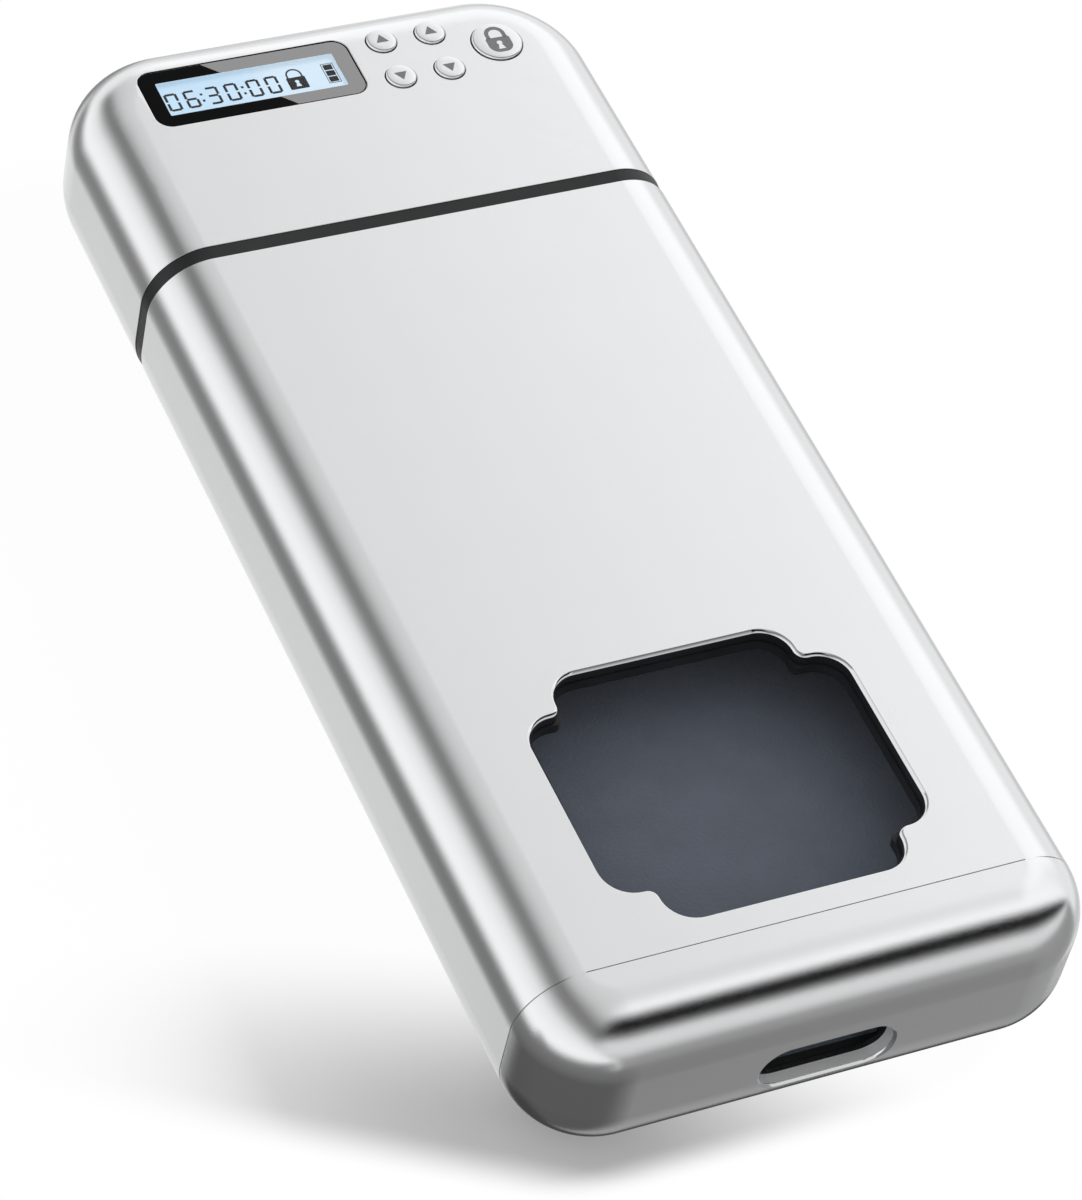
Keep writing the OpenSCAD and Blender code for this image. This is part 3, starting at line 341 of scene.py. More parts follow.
class Sheet:
    """A material's or world's node tree, with short ways to add and join nodes."""

    def __init__(self, tree: bpy.types.NodeTree) -> None:
        """Empties the tree.

        Args:
            tree: the node tree to build in.
        """
        self.tree = tree
        tree.nodes.clear()

    def add(self, kind: str, inputs: dict | None = None, **settings: object) -> bpy.types.Node:
        """Adds a node.

        Args:
            kind: the node's type name.
            inputs: values or sockets for its inputs, by name or number.
            settings: values for the node's own properties.

        Returns:
            The new node.
        """
        node = self.tree.nodes.new(kind)
        for key, value in settings.items():
            setattr(node, key, value)
        for key, value in (inputs or {}).items():
            if isinstance(value, bpy.types.NodeSocket):
                self.tree.links.new(value, node.inputs[key])
            else:
                node.inputs[key].default_value = value
        return node

    def maths(self, operation: str, *values: object) -> bpy.types.NodeSocket:
        """Adds a Math node and returns its result.

        Args:
            operation: the node's operation.
            values: numbers or sockets for its inputs.

        Returns:
            The node's output socket.
        """
        return self.add("ShaderNodeMath", dict(enumerate(values)), operation=operation).outputs[0]

    def vectors(self, operation: str, *values: object) -> bpy.types.Node:
        """Adds a Vector Math node."""
        return self.add("ShaderNodeVectorMath", dict(enumerate(values)), operation=operation)

    def mix(self, share: object, first: object, second: object) -> bpy.types.NodeSocket:
        """Goes from the first value to the second as the share goes from 0 to 1."""
        return self.add("ShaderNodeMix", {0: share, 2: first, 3: second}).outputs[0]

    def noise(self, grain: float, detail: float = 2.0, squeeze: Vector | None = None) -> bpy.types.NodeSocket:
        """Adds a noise on the object's own coordinates.

        Args:
            grain: the size of its grains in millimetres.
            detail: how many finer layers it has.
            squeeze: factors for the three axes, for a brushed grain.

        Returns:
            The noise's value.
        """
        place = self.add("ShaderNodeTexCoord").outputs["Object"]
        if squeeze is not None:
            place = self.add("ShaderNodeMapping", {"Vector": place, "Scale": squeeze}).outputs[0]
        scale = 1 / (grain * MM)
        return self.add("ShaderNodeTexNoise", {"Vector": place, "Scale": scale, "Detail": detail}).outputs[0]

    def spread(self, value: bpy.types.NodeSocket, low: float, high: float) -> bpy.types.NodeSocket:
        """Spreads a noise over a range of values.

        Args:
            value: the noise.
            low: the result where the noise is low.
            high: the result where the noise is high.

        Returns:
            The result's socket.
        """
        reach = {"From Min": NOISE_REACH[0], "From Max": NOISE_REACH[1]}
        inputs = {"Value": value, **reach, "To Min": low, "To Max": high}
        return self.add("ShaderNodeMapRange", inputs).outputs[0]

    def tint(self, value: bpy.types.NodeSocket, first: Colour, second: Colour) -> bpy.types.NodeSocket:
        """Mixes two colours by a noise.

        Args:
            value: the noise.
            first: the colour where it is low.
            second: the colour where it is high.

        Returns:
            The colour's socket.
        """
        ramp = self.add("ShaderNodeValToRGB", {"Fac": value})
        for element, position, colour in zip(ramp.color_ramp.elements, TINT_REACH, (first, second)):
            element.position = position
            element.color = (*colour, 1)
        return ramp.outputs[0]

    def mottled(self, value: bpy.types.NodeSocket, colour: Colour, mottle: float) -> bpy.types.NodeSocket:
        """The colour, made darker and lighter by this share with a noise."""
        return self.tint(value, shade(colour, 1 - mottle), shade(colour, 1 + mottle))

    def bump(self, height: bpy.types.NodeSocket, depth: float, strength: float = 1.0) -> bpy.types.NodeSocket:
        """Turns a height into a bumped normal.

        Args:
            height: the height, from 0 to 1.
            depth: what a height of 1 is, in millimetres.
            strength: the node's strength.

        Returns:
            The normal's socket.
        """
        inputs = {"Height": height, "Distance": depth * MM, "Strength": strength}
        return self.add("ShaderNodeBump", inputs).outputs[0]

    def surface(self, shader: bpy.types.NodeSocket) -> None:
        """Joins a shader to the material's output."""
        self.add("ShaderNodeOutputMaterial", {"Surface": shader})


def new_material(name: str) -> tuple[bpy.types.Material, Sheet]:
    """Makes an empty material.

    Args:
        name: its name.

    Returns:
        The material and its node sheet.
    """
    material = bpy.data.materials.new(name)
    material.use_nodes = True
    return material, Sheet(material.node_tree)


def shade(colour: Colour, factor: float) -> Colour:
    """The colour, made darker or lighter by a factor."""
    return tuple(min(1.0, part * factor) for part in colour)


class Growth(Sheet):
    """A Geometry Nodes tree with named sizes that repeats a shape on points."""

    def __init__(self, name: str) -> None:
        """Starts the tree with its points as input and its mesh as output.

        Args:
            name: the tree's name.
        """
        super().__init__(bpy.data.node_groups.new(name, "GeometryNodeTree"))
        for way in ("INPUT", "OUTPUT"):
            self.tree.interface.new_socket("Geometry", in_out=way, socket_type="NodeSocketGeometry")
        self.source = self.add("NodeGroupInput")
        self.values: dict[str, object] = {}

    def size(self, name: str, value: float) -> bpy.types.NodeSocket:
        """Adds a named size in millimetres.

        Args:
            name: its name in the tree.
            value: its value.

        Returns:
            The socket that gives it.
        """
        socket = self.tree.interface.new_socket(name, in_out="INPUT", socket_type="NodeSocketFloat")
        self.values[socket.identifier] = value * MM
        return self.source.outputs[name]

    def named(self, name: str) -> bpy.types.NodeSocket:
        """The value that each point carries under a name."""
        node = self.add("GeometryNodeInputNamedAttribute", {"Name": name}, data_type="FLOAT")
        return node.outputs["Attribute"]

    def joined(self, *parts: bpy.types.NodeSocket) -> bpy.types.NodeSocket:
        """Joins parts.

        Args:
            parts: the parts.

        Returns:
            The parts in one geometry.
        """
        node = self.add("GeometryNodeJoinGeometry")
        for part in parts:
            self.tree.links.new(part, node.inputs[0])
        return node.outputs[0]

    def repeat(self, shape: bpy.types.NodeSocket, points: object, **inputs: object) -> bpy.types.NodeSocket:
        """Puts a shape on points.

        Args:
            shape: the shape.
            points: the points.
            inputs: the node's further inputs, such as Rotation and Scale.

        Returns:
            The instances.
        """
        joined = {"Points": points, "Instance": shape, **inputs}
        return self.add("GeometryNodeInstanceOnPoints", joined).outputs[0]

    def vector(self, x: object = 0.0, y: object = 0.0, z: object = 0.0) -> bpy.types.NodeSocket:
        """Three values or sockets as one vector."""
        return self.add("ShaderNodeCombineXYZ", {0: x, 1: y, 2: z}).outputs[0]

    def grow(
        self,
        shape: bpy.types.NodeSocket,
        name: str,
        points: Sequence[Vector],
        carried: dict[str, list[float]],
        finish: bpy.types.Material,
    ) -> bpy.types.Object:
        """Ends the tree, runs it on the points and keeps its result as a plain mesh.

        Args:
            shape: the tree's last geometry.
            name: the piece's name.
            points: the points in millimetres.
            carried: the values that the points carry, by name.
            finish: the material.

        Returns:
            The finished object at the origin.
        """
        real = self.add("GeometryNodeRealizeInstances", {0: shape}).outputs[0]
        dressed = self.add("GeometryNodeSetMaterial", {"Geometry": real, "Material": finish}).outputs[0]
        self.add("NodeGroupOutput", {0: dressed})
        mesh = bpy.data.meshes.new(name + "_points")
        mesh.from_pydata([p * MM for p in points], [], [])
        for key, values in carried.items():
            mesh.attributes.new(key, "FLOAT", "POINT").data.foreach_set("value", values)
        made = bpy.data.objects.new(name, mesh)
        bpy.context.scene.collection.objects.link(made)
        growth = made.modifiers.new(name, "NODES")
        growth.node_group = self.tree
        for identifier, value in self.values.items():
            growth[identifier] = value
        shaped = made.evaluated_get(bpy.context.evaluated_depsgraph_get())
        plain = bpy.data.meshes.new_from_object(shaped)
        made.modifiers.clear()
        made.data = plain
        return made


@dataclass(frozen=True)
class Metal:
    """A metal with a fine grain in its colour, roughness and surface."""

    name: str
    colour: Colour
    roughness: float
    grain: float
    depth: float
    spread: float = 0.05
    squeeze: Vector | None = None
    metallic: float = 1.0
    clouds: float = 60.0
    mottle: float = 0.003

    def make(self) -> bpy.types.Material:
        """Makes the material.

        Returns:
            The material.
        """
        material, sheet = new_material(self.name)
        grain = sheet.noise(self.grain, 3.0, self.squeeze)
        cloud = sheet.noise(self.grain * self.clouds)
        inputs = {
            "Base Color": sheet.mottled(cloud, self.colour, self.mottle),
            "Metallic": self.metallic,
            "Roughness": sheet.spread(grain, self.roughness - self.spread, self.roughness + self.spread),
            "Normal": sheet.bump(grain, self.depth),
        }
        sheet.surface(sheet.add("ShaderNodeBsdfPrincipled", inputs).outputs[0])
        return material


@dataclass(frozen=True)
class Moulded:
    """A moulded plastic, rubber or lacquer with a fine surface texture."""

    name: str
    colour: Colour
    roughness: float
    grain: float
    depth: float
    mottle: float = 0.12
    coat: float = 0.0
    shine: float = 0.5
    clouds: float = 25.0
    spread: float = 0.04

    def make(self) -> bpy.types.Material:
        """Makes the material.

        Returns:
            The material.
        """
        material, sheet = new_material(self.name)
        grain = sheet.noise(self.grain)
        cloud = sheet.noise(self.grain * self.clouds)
        inputs = {
            "Base Color": sheet.mottled(cloud, self.colour, self.mottle),
            "Roughness": sheet.spread(grain, self.roughness - self.spread, self.roughness + self.spread),
            "Specular IOR Level": self.shine,
            "Coat Weight": self.coat,
            "Normal": sheet.bump(grain, self.depth),
        }
        sheet.surface(sheet.add("ShaderNodeBsdfPrincipled", inputs).outputs[0])
        return material


@dataclass(frozen=True)
class OpenFoam:
    """A soft foam with open pores and a dry, slightly dusty surface."""

    name: str
    colour: Colour
    pore: float
    depth: float
    clouds: float = 12.0
    mottle: float = 0.04
    strength: float = 0.7

    def make(self) -> bpy.types.Material:
        """Makes the material.

        Returns:
            The material.
        """
        material, sheet = new_material(self.name)
        place = sheet.add("ShaderNodeTexCoord").outputs["Object"]
        cells = sheet.add("ShaderNodeTexVoronoi", {"Vector": place, "Scale": 1 / (self.pore * MM)})
        cloud = sheet.noise(self.pore * self.clouds, 4.0)
        inputs = {
            "Base Color": sheet.mottled(cloud, self.colour, self.mottle),
            "Roughness": 0.92,
            "Sheen Weight": 0.25,
            "Sheen Roughness": 0.6,
            "Normal": sheet.bump(cells.outputs["Distance"], self.depth, self.strength),
        }
        sheet.surface(sheet.add("ShaderNodeBsdfPrincipled", inputs).outputs[0])
        return material


@dataclass(frozen=True)
class BlackGlass:
    """Glass with black print on its back: black, smooth and glossy, with faint wipe marks."""

    name: str
    colour: Colour
    roughness: float
    shine: float
    wipe: float = 6.0
    wipe_tone: float = 1.3
    wipe_blur: float = 1.1

    def make(self) -> bpy.types.Material:
        """Makes the material.

        Returns:
            The material.
        """
        material, sheet = new_material(self.name)
        wipes = sheet.noise(self.wipe, 3.0, Vector((1.0, 0.3, 1.0)))
        inputs = {
            "Base Color": sheet.tint(wipes, self.colour, shade(self.colour, self.wipe_tone)),
            "Roughness": sheet.spread(wipes, self.roughness, self.roughness * self.wipe_blur),
            "IOR": 1.5,
            "Specular IOR Level": self.shine,
        }
        sheet.surface(sheet.add("ShaderNodeBsdfPrincipled", inputs).outputs[0])
        return material


@dataclass(frozen=True)
class ClearGlass:
    """A clear, smooth pane."""

    name: str
    tone: Colour
    wipe: float = 5.0
    haze: float = 0.02

    def make(self) -> bpy.types.Material:
        """Makes the material.

        Returns:
            The material.
        """
        material, sheet = new_material(self.name)
        wipes = sheet.noise(self.wipe, 3.0)
        inputs = {
            "Base Color": (*self.tone, 1),
            "Roughness": sheet.spread(wipes, 0.0, self.haze),
            "Transmission Weight": 1.0,
            "IOR": 1.3,
            "Specular IOR Level": 0.2,
        }
        sheet.surface(sheet.add("ShaderNodeBsdfPrincipled", inputs).outputs[0])
        return material


@dataclass(frozen=True)
class LitGlass:
    """The face of a display with a light behind it, a little uneven across its width."""

    name: str
    left: Colour
    right: Colour
    from_x: float
    to_x: float
    glow: float
    unlit: float = 0.35
    clouds: float = 4.0
    uneven: float = 0.06

    def make(self) -> bpy.types.Material:
        """Makes the material.

        Returns:
            The material.
        """
        material, sheet = new_material(self.name)
        place = sheet.add("ShaderNodeTexCoord").outputs["Object"]
        across = sheet.add("ShaderNodeSeparateXYZ", {0: place}).outputs["X"]
        limits = {"Value": across, "From Min": self.from_x * MM, "From Max": self.to_x * MM}
        share = sheet.add("ShaderNodeMapRange", limits).outputs[0]
        uneven = sheet.spread(sheet.noise(self.clouds), -self.uneven, self.uneven)
        place_share = sheet.maths("ADD", share, uneven)
        left, right = shade(self.left, self.unlit), shade(self.right, self.unlit)
        inputs = {
            "Base Color": sheet.tint(place_share, left, right),
            "Roughness": 0.35,
            "Emission Color": sheet.tint(place_share, self.left, self.right),
            "Emission Strength": self.glow,
        }
        sheet.surface(sheet.add("ShaderNodeBsdfPrincipled", inputs).outputs[0])
        return material


class Finish(Enum):
    """Every finish on the container, each under a name of its own."""

    SATIN = Metal("satin_aluminium", (0.875, 0.88, 0.89), 0.16, 0.16, 0.012)
    POLISHED = Metal("polished_cut", (0.86, 0.87, 0.88), 0.10, 0.5, 0.001, 0.02)
    SLOT_WALL = Metal("slot_cut", (0.86, 0.865, 0.87), 0.38, 0.3, 0.004, metallic=0.45)
    # Painted shade: near black on the lower walls of the window and the slot, standing in for the dark that
    # these metal walls reflect and the shade inside them.
    PAINTED_SHADE_CUT = Moulded("painted_shade_cut", (0.012, 0.012, 0.013), 0.3, 0.3, 0.003, shine=0.4)
    BAND = Moulded("band_plastic", (0.016, 0.017, 0.018), 0.42, 0.3, 0.006, shine=0.3)
    FRAME = Moulded("moulded_frame", (0.045, 0.045, 0.05), 0.55, 0.4, 0.01)
    FOAM = OpenFoam("open_foam", (0.130, 0.152, 0.196), 0.5, 0.12)
    LENS = BlackGlass("printed_glass", (0.0015, 0.0016, 0.002), 0.004, 0.05)
    PANE = ClearGlass("lens_clear", (1.0, 1.0, 1.0))
    LCD = LitGlass("lit_display", (0.50, 0.69, 0.86), (0.60, 0.75, 0.88), -30.0, 1.0, 0.84)
    LCD_INK = BlackGlass("display_segments", (0.003, 0.003, 0.006), 0.6, 0.0)
    ICON_INK = Moulded("icon_print", (0.20, 0.205, 0.21), 0.45, 0.15, 0.001, 0.04)
    GUIDE = Moulded("guide_acrylic", (0.65, 0.80, 0.92), 0.15, 0.5, 0.001, 0.03)
    RUBBER = Moulded("soft_rubber", (0.17, 0.18, 0.21), 0.7, 0.2, 0.008)
    BOARD = Moulded("board_lacquer", (0.012, 0.10, 0.055), 0.28, 0.8, 0.01, 0.25, 0.4)
    CHIP = Moulded("chip_epoxy", (0.018, 0.018, 0.02), 0.5, 0.25, 0.008)
    SCREW = Metal("plated_screw", (0.52, 0.53, 0.55), 0.32, 0.3, 0.004)
    BOLT = Metal("ground_bolt", (0.56, 0.57, 0.59), 0.28, 0.15, 0.004, 0.06, Vector((0.1, 1, 1)))
    NICKEL = Metal("nickel_can", (0.60, 0.60, 0.62), 0.24, 0.4, 0.002)
    BRASS = Metal("cut_brass", (0.62, 0.42, 0.16), 0.28, 0.25, 0.003)
    FOIL = Moulded("cell_wrap", (0.42, 0.44, 0.47), 0.38, 1.5, 0.05, 0.06)

    def material(self) -> bpy.types.Material:
        """The finish's material, made when it is first asked for."""
        found = bpy.data.materials.get(self.value.name)
        return found or self.value.make()


# ---------------------------------------------------------------- the body's rounded form


def node_box(name: str) -> tuple[Vector, Vector]:
    """Lowest and highest corner of a piece of the frame, in millimetres."""
    low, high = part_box(name)
    return low / MM, high / MM


@dataclass(frozen=True)
class Body:
    """The container's outer form and walls. What the frame's boxes tell is read from them."""

    half_w: float
    foot_y: float
    head_y: float
    top: float
    cap_y: float
    sleeve_low_y: float
    sleeve_high_y: float
    mouth_y: float
    front_r: float = 10.0
    back_r: float = 12.0
    head_plan_r: float = 18.0
    foot_plan_r: float = 14.0
    wall: float = 2.0
    foot_wall: float = 3.0

    @classmethod
    def from_frame(cls) -> "Body":
        """Reads the outer sizes from the frame's boxes.

        Returns:
            The body.
        """
        sleeve_low, sleeve_high = node_box("sleeve")
        cap_low, cap_high = node_box("end_cap")
        head_low, head_high = node_box("head_shell")
        return cls(
            half_w=(sleeve_high.x - sleeve_low.x) / 2,
            foot_y=cap_low.y,
            head_y=head_high.y,
            top=sleeve_high.z,
            cap_y=cap_high.y,
            sleeve_low_y=sleeve_low.y,
            sleeve_high_y=sleeve_high.y,
            mouth_y=head_low.y,
        )

    def profile(self, inset: float) -> list[Flat]:
        """The rounded edge from the flat back to the flat front.

        Args:
            inset: how far the skin lies inside the body's outside.

        Returns:
            Pairs of depth inside the body's outside and height.
        """
        points = []
        arcs = ((self.back_r, self.back_r, 270), (self.front_r, self.top - self.front_r, 180))
        for radius, middle, start in arcs:
            reach = radius - inset
            for step in range(ARC_STEPS + 1):
                angle = math.radians(start - 90 * step / ARC_STEPS)
                points.append((radius + reach * math.cos(angle), middle + reach * math.sin(angle)))
        return points

    def depth(self, height: float, inset: float) -> float:
        """How deep inside the body's outside a skin lies at this height.

        Args:
            height: the height above the back.
            inset: how far the skin lies inside the body's outside.

        Returns:
            The depth.
        """
        low, high = self.back_r - height, height - self.top + self.front_r
        for radius, over in ((self.back_r, low), (self.front_r, high)):
            if over > 0:
                return radius - math.sqrt(max(0.0, (radius - inset) ** 2 - over**2))
        return inset

    def section(self, inset: float, y: float) -> list[Vector]:
        """The ring round the body's section, up its left side and down its right side.

        Args:
            inset: how far the skin lies inside the body's outside.
            y: the section's place along the body.

        Returns:
            The ring's points. The flat front lies between the two middle ones.
        """
        side = self.profile(inset)
        left = [Vector((depth - self.half_w, y, z)) for depth, z in side]
        right = [Vector((self.half_w - depth, y, z)) for depth, z in reversed(side)]
        return left + right

    def rim(self, y: float, way: int, wall: float, edge_r: float) -> list[list[Vector]]:
        """The rings round the rim of an open end, from the outside over to the inside.

        Args:
            y: the place of the rim's end face.
            way: 1 if the rim faces the head end, -1 if it faces the foot.
            wall: the thickness of the wall there.
            edge_r: the radius of the rim's two edges.

        Returns:
            The rings.
        """
        rings = [(0.0, y - way * (edge_r + HOLD))]
        for turn in EDGE_TURNS:
            angle = math.radians(turn)
            rings.append((edge_r * (1 - math.cos(angle)), y - way * edge_r * (1 - math.sin(angle))))
        rings += [(wall - inset, place) for inset, place in reversed(rings)]
        return [self.section(inset, place) for inset, place in rings]


FRONT_EDGE = 2 * ARC_STEPS + 1
"""Number of the flat front's face in a ring of Body.section."""

FRONT_ROWS = 6
"""How many rows of the rounded edge are filled together with a front that has openings."""

GRID_STEP, GRID_ROOM = 1.4, 0.2
"""The distance between the points that keep those rows round, and how far they stay off an opening."""

PATCH_STEP, PATCH_ROOM = 2.0, 1.04
"""The same for the end wall round its opening, where the room is a share of the opening's width."""


@dataclass(frozen=True)
class Opening:
    """A hole through a wall.

    Attributes:
        rings: the hole's rings from the outside in.
        finishes: the material slot of each step from ring to ring.
    """

    rings: Sequence[Ring]
    finishes: Sequence[int] = ()

    def loop(self, index: int, wider: float = 0.0) -> list[Flat]:
        """One ring's flat points, or points that lie further out by this much."""
        outline, out, _ = self.rings[index]
        return [station.moved(out + wider) for station in outline]

    def cut(self, plan: MeshPlan, lift: Callable[[float, float, float], Vector], inner: Callable) -> None:
        """Adds the hole's wall to a piece.

        Args:
            plan: the piece.
            lift: turns a flat point and a depth into a point of the piece.
            inner: turns a flat point into a point on the wall's inner skin.
        """
        rows = []
        for index, (_, _, deep) in enumerate(self.rings[:-1]):
            rows.append([lift(x, y, deep) for x, y in self.loop(index)])
        rows.append([inner(x, y) for x, y in self.loop(-1)])
        finishes = self.finishes or [0] * len(rows)
        for first, second, finish in zip(rows, rows[1:], finishes):
            plan.bridge(first, second, True, finish)


def rolled_rim(outline: list[Station], edge_r: float, wall: float) -> list[Ring]:
    """Rings of a hole whose outer edge is rolled over by a small radius.

    Args:
        outline: the hole's outline.
        edge_r: the radius of the edge.
        wall: the thickness of the wall.

    Returns:
        The rings for an Opening.
    """
    rings = [(outline, edge_r + HOLD, 0.0)]
    for turn in reversed(EDGE_TURNS):
        angle = math.radians(turn)
        rings.append((outline, edge_r * (1 - math.cos(angle)), edge_r * (1 - math.sin(angle))))
    return [*rings, (outline, 0.0, wall)]


@dataclass(frozen=True)
class EndPatch:
    """The part of an end wall that is filled round an opening: its half width and its rows of the profile."""

    opening: Opening
    middle_x: float
    half_w: float
    first_row: int
    last_row: int

    def columns(self) -> tuple[float, float]:
        """The places of the patch's two sides."""
        return self.middle_x - self.half_w, self.middle_x + self.half_w


@dataclass(frozen=True)
class Skin:
    """One skin of a shell that is open at one end and rounded off at the other.

    Attributes:
        body: the body whose form it has.
        inset: how far it lies inside the body's outside.
        open_y: the place where it starts.
        end_y: the place of its closed end, measured at the body's outside.
        plan_r: the radius of its corners, measured at the body's outside.
    """

    body: Body
    inset: float
    open_y: float
    end_y: float
    plan_r: float

    @property
    def way(self) -> int:
        """1 if it closes at the head end, -1 if at the foot."""
        return 1 if self.end_y > self.open_y else -1

    def stations(self, columns: Sequence[float]) -> list[Station]:
        """Walks the body's outside from the left of the open end round to the right.

        Args:
            columns: further places along the end wall.

        Returns:
            The stations.
        """
        half, way = self.body.half_w, self.way
        corner_x, corner_y = half - self.plan_r, self.end_y - way * self.plan_r
        left = [Station(-half, self.open_y, -1, 0)]
        for step in range(ARC_STEPS + 1):
            angle = math.radians(180 - 90 * step / ARC_STEPS)
            out_x, out_y = math.cos(angle), way * math.sin(angle)
            y = corner_y + self.plan_r * out_y
            if way * (y - self.open_y) > HOLD:
                left.append(Station(-corner_x + self.plan_r * out_x, y, out_x, out_y))
        middle = [Station(x, self.end_y, 0, way) for x in columns]
        right = [Station(-s.x, s.y, -s.out_x, s.out_y) for s in reversed(left)]
        return left + middle + right

    def end_point(self, x: float, z: float, deep: float = 0.0) -> Vector:
        """A point of the end wall, or this deep behind it."""
        return Vector((x, self.end_y - self.way * (self.body.depth(z, self.inset) + deep), z))

    def front_height(self, x: float, y: float) -> float:
        """The height of the skin's front, with its rounded edge.

        Args:
            x: the place across the body.
            y: the place along it.

        Returns:
            The height.
        """
        side, end = self.body.half_w - abs(x), self.way * (self.end_y - y)
        depth = min(side, end)
        if max(side, end) < self.plan_r:
            depth = self.plan_r - math.hypot(self.plan_r - side, self.plan_r - end)
        radius = self.body.front_r
        over, reach = max(0.0, radius - depth), radius - self.inset
        return self.body.top - radius + math.sqrt(max(0.0, reach**2 - over**2))

    def add_to(self, plan: MeshPlan, front: Sequence[Opening], patch: EndPatch | None, ring: int) -> None:
        """Adds the skin to a piece.

        Args:
            plan: the piece.
            front: the openings in its front.
            patch: the part of the end wall that has an opening.
            ring: the number of the openings' ring that lies in this skin.
        """
        columns = patch.columns() if patch else ()
        stations = self.stations(columns)
        profile = self.body.profile(self.inset)
        rows = [[Vector((*s.moved(-depth), z)) for depth, z in profile] for s in stations]
        gap, count = len(stations) // 2 - 1, len(profile)
        reach = FRONT_ROWS if front else 0
        for index, (first, second) in enumerate(zip(rows, rows[1:])):
            skip = list(range(count - 1 - reach, count - 1))
            if patch and index == gap:
                skip += range(patch.first_row, patch.last_row)
            plan.bridge(first, second, False, 0, skip)
        low_z = rows[0][0].z
        plan.fill([[(points[0].x, points[0].y) for points in rows]], lambda x, y: Vector((x, y, low_z)))
        edge = [points[-1 - reach] for points in rows]
        edge += rows[-1][count - reach :] + rows[0][count - reach :][::-1]
        loops = [[(point.x, point.y) for point in edge], *(opening.loop(ring) for opening in front)]
        wide = [opening.loop(ring, GRID_ROOM) for opening in front]
        within = self.front_grid([[points[-1 - back] for points in rows] for back in range(reach)], wide)
        plan.fill(loops, lambda x, y: Vector((x, y, self.front_height(x, y))), 0, within)
        if patch:
            self.add_patch(plan, patch, profile, ring)

    def front_grid(self, lines: Sequence[Sequence[Vector]], holes: Sequence[Sequence[Flat]]) -> list[Flat]:
        """Points along the lines that keep the rounded edge round, outside the holes.

        Args:
            lines: the lines round the front.
            holes: the loops of the holes, a little wider than they are.

        Returns:
            The flat points.
        """
        found = []
        for line in lines:
            for index, (first, second) in enumerate(zip(line, line[1:])):
                parts = math.ceil((second - first).length / GRID_STEP)
                steps = range(1 if index == 0 else 0, parts)
                found += [first.lerp(second, step / parts).to_2d().to_tuple() for step in steps]
        return [point for point in found if not any(inside(point, hole) for hole in holes)]

    def add_patch(self, plan: MeshPlan, patch: EndPatch, profile: Sequence[Flat], ring: int) -> None:
        """Fills the end wall round its opening.

        Args:
            plan: the piece.
            patch: the part of the end wall.
            profile: the skin's rounded edge.
            ring: the number of the opening's ring that lies in this skin.
        """
        low_x, high_x = patch.columns()
        heights = [z for _, z in profile[patch.first_row : patch.last_row + 1]]
        outer = [(low_x, z) for z in heights] + [(high_x, z) for z in reversed(heights)]
        hole = patch.opening.loop(ring)
        columns = int((high_x - low_x) / PATCH_STEP - 0.5)
        across = [low_x + PATCH_STEP * (i + 1) for i in range(columns)]
        rows = [z for z in heights[1:-1] if z < self.body.back_r]
        wide = [(patch.middle_x + (x - patch.middle_x) * PATCH_ROOM, z) for x, z in hole]
        within = [(x, z) for z in rows for x in across if not inside((x, z), wide)]
        plan.fill([outer, hole], self.end_point, 0, within)


@dataclass
class Shell:
    """A metal shell: an outer and an inner skin, joined by the rim of its open end and by its openings."""

    outer: Skin
    inner: Skin
    edge_r: float
    front: list[Opening] = field(default_factory=list)
    end: EndPatch | None = None

    def plan(self) -> MeshPlan:
        """Lays out the shell's faces.

        Returns:
            The shell's plan.
        """
        plan = MeshPlan()
        body, way = self.outer.body, self.outer.way
        self.outer.add_to(plan, self.front, self.end, 0)
        self.inner.add_to(plan, self.front, self.end, -1)
        rim_y = self.outer.open_y - way * (self.edge_r + HOLD)
        plan.loft(body.rim(rim_y, -way, body.wall, self.edge_r))
        for opening in self.front:
            opening.cut(plan, self.front_point, lambda x, y: Vector((x, y, self.inner.front_height(x, y))))
        if self.end:
            self.end.opening.cut(plan, self.outer.end_point, self.inner.end_point)
        return plan

    def front_point(self, x: float, y: float, deep: float) -> Vector:
        """A point of the front or behind it. The floor of a stepped opening lies level.

        Args:
            x: the place across the body.
            y: the place along it.
            deep: how far behind the front it is.

        Returns:
            The point.
        """
        level = deep > self.outer.body.wall / 4
        top = self.outer.body.top if level else self.outer.front_height(x, y)
        return Vector((x, y, top - deep))


def add_piece(piece: bpy.types.Object, body: str, slot: str, *nodes: str) -> bpy.types.Object:
    """Puts a piece on its body and hides the CAD pieces that it stands for.

    Args:
        piece: the finished piece.
        body: the body that it moves with.
        slot: not used.
        nodes: the CAD pieces that it replaces.

    Returns:
        The piece.
    """
    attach(piece, body)
    if nodes:
        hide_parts(*nodes)
    LOG.info("%s: %d faces on %s", piece.name, len(piece.data.polygons), body)
    return piece


# ---------------------------------------------------------------- container


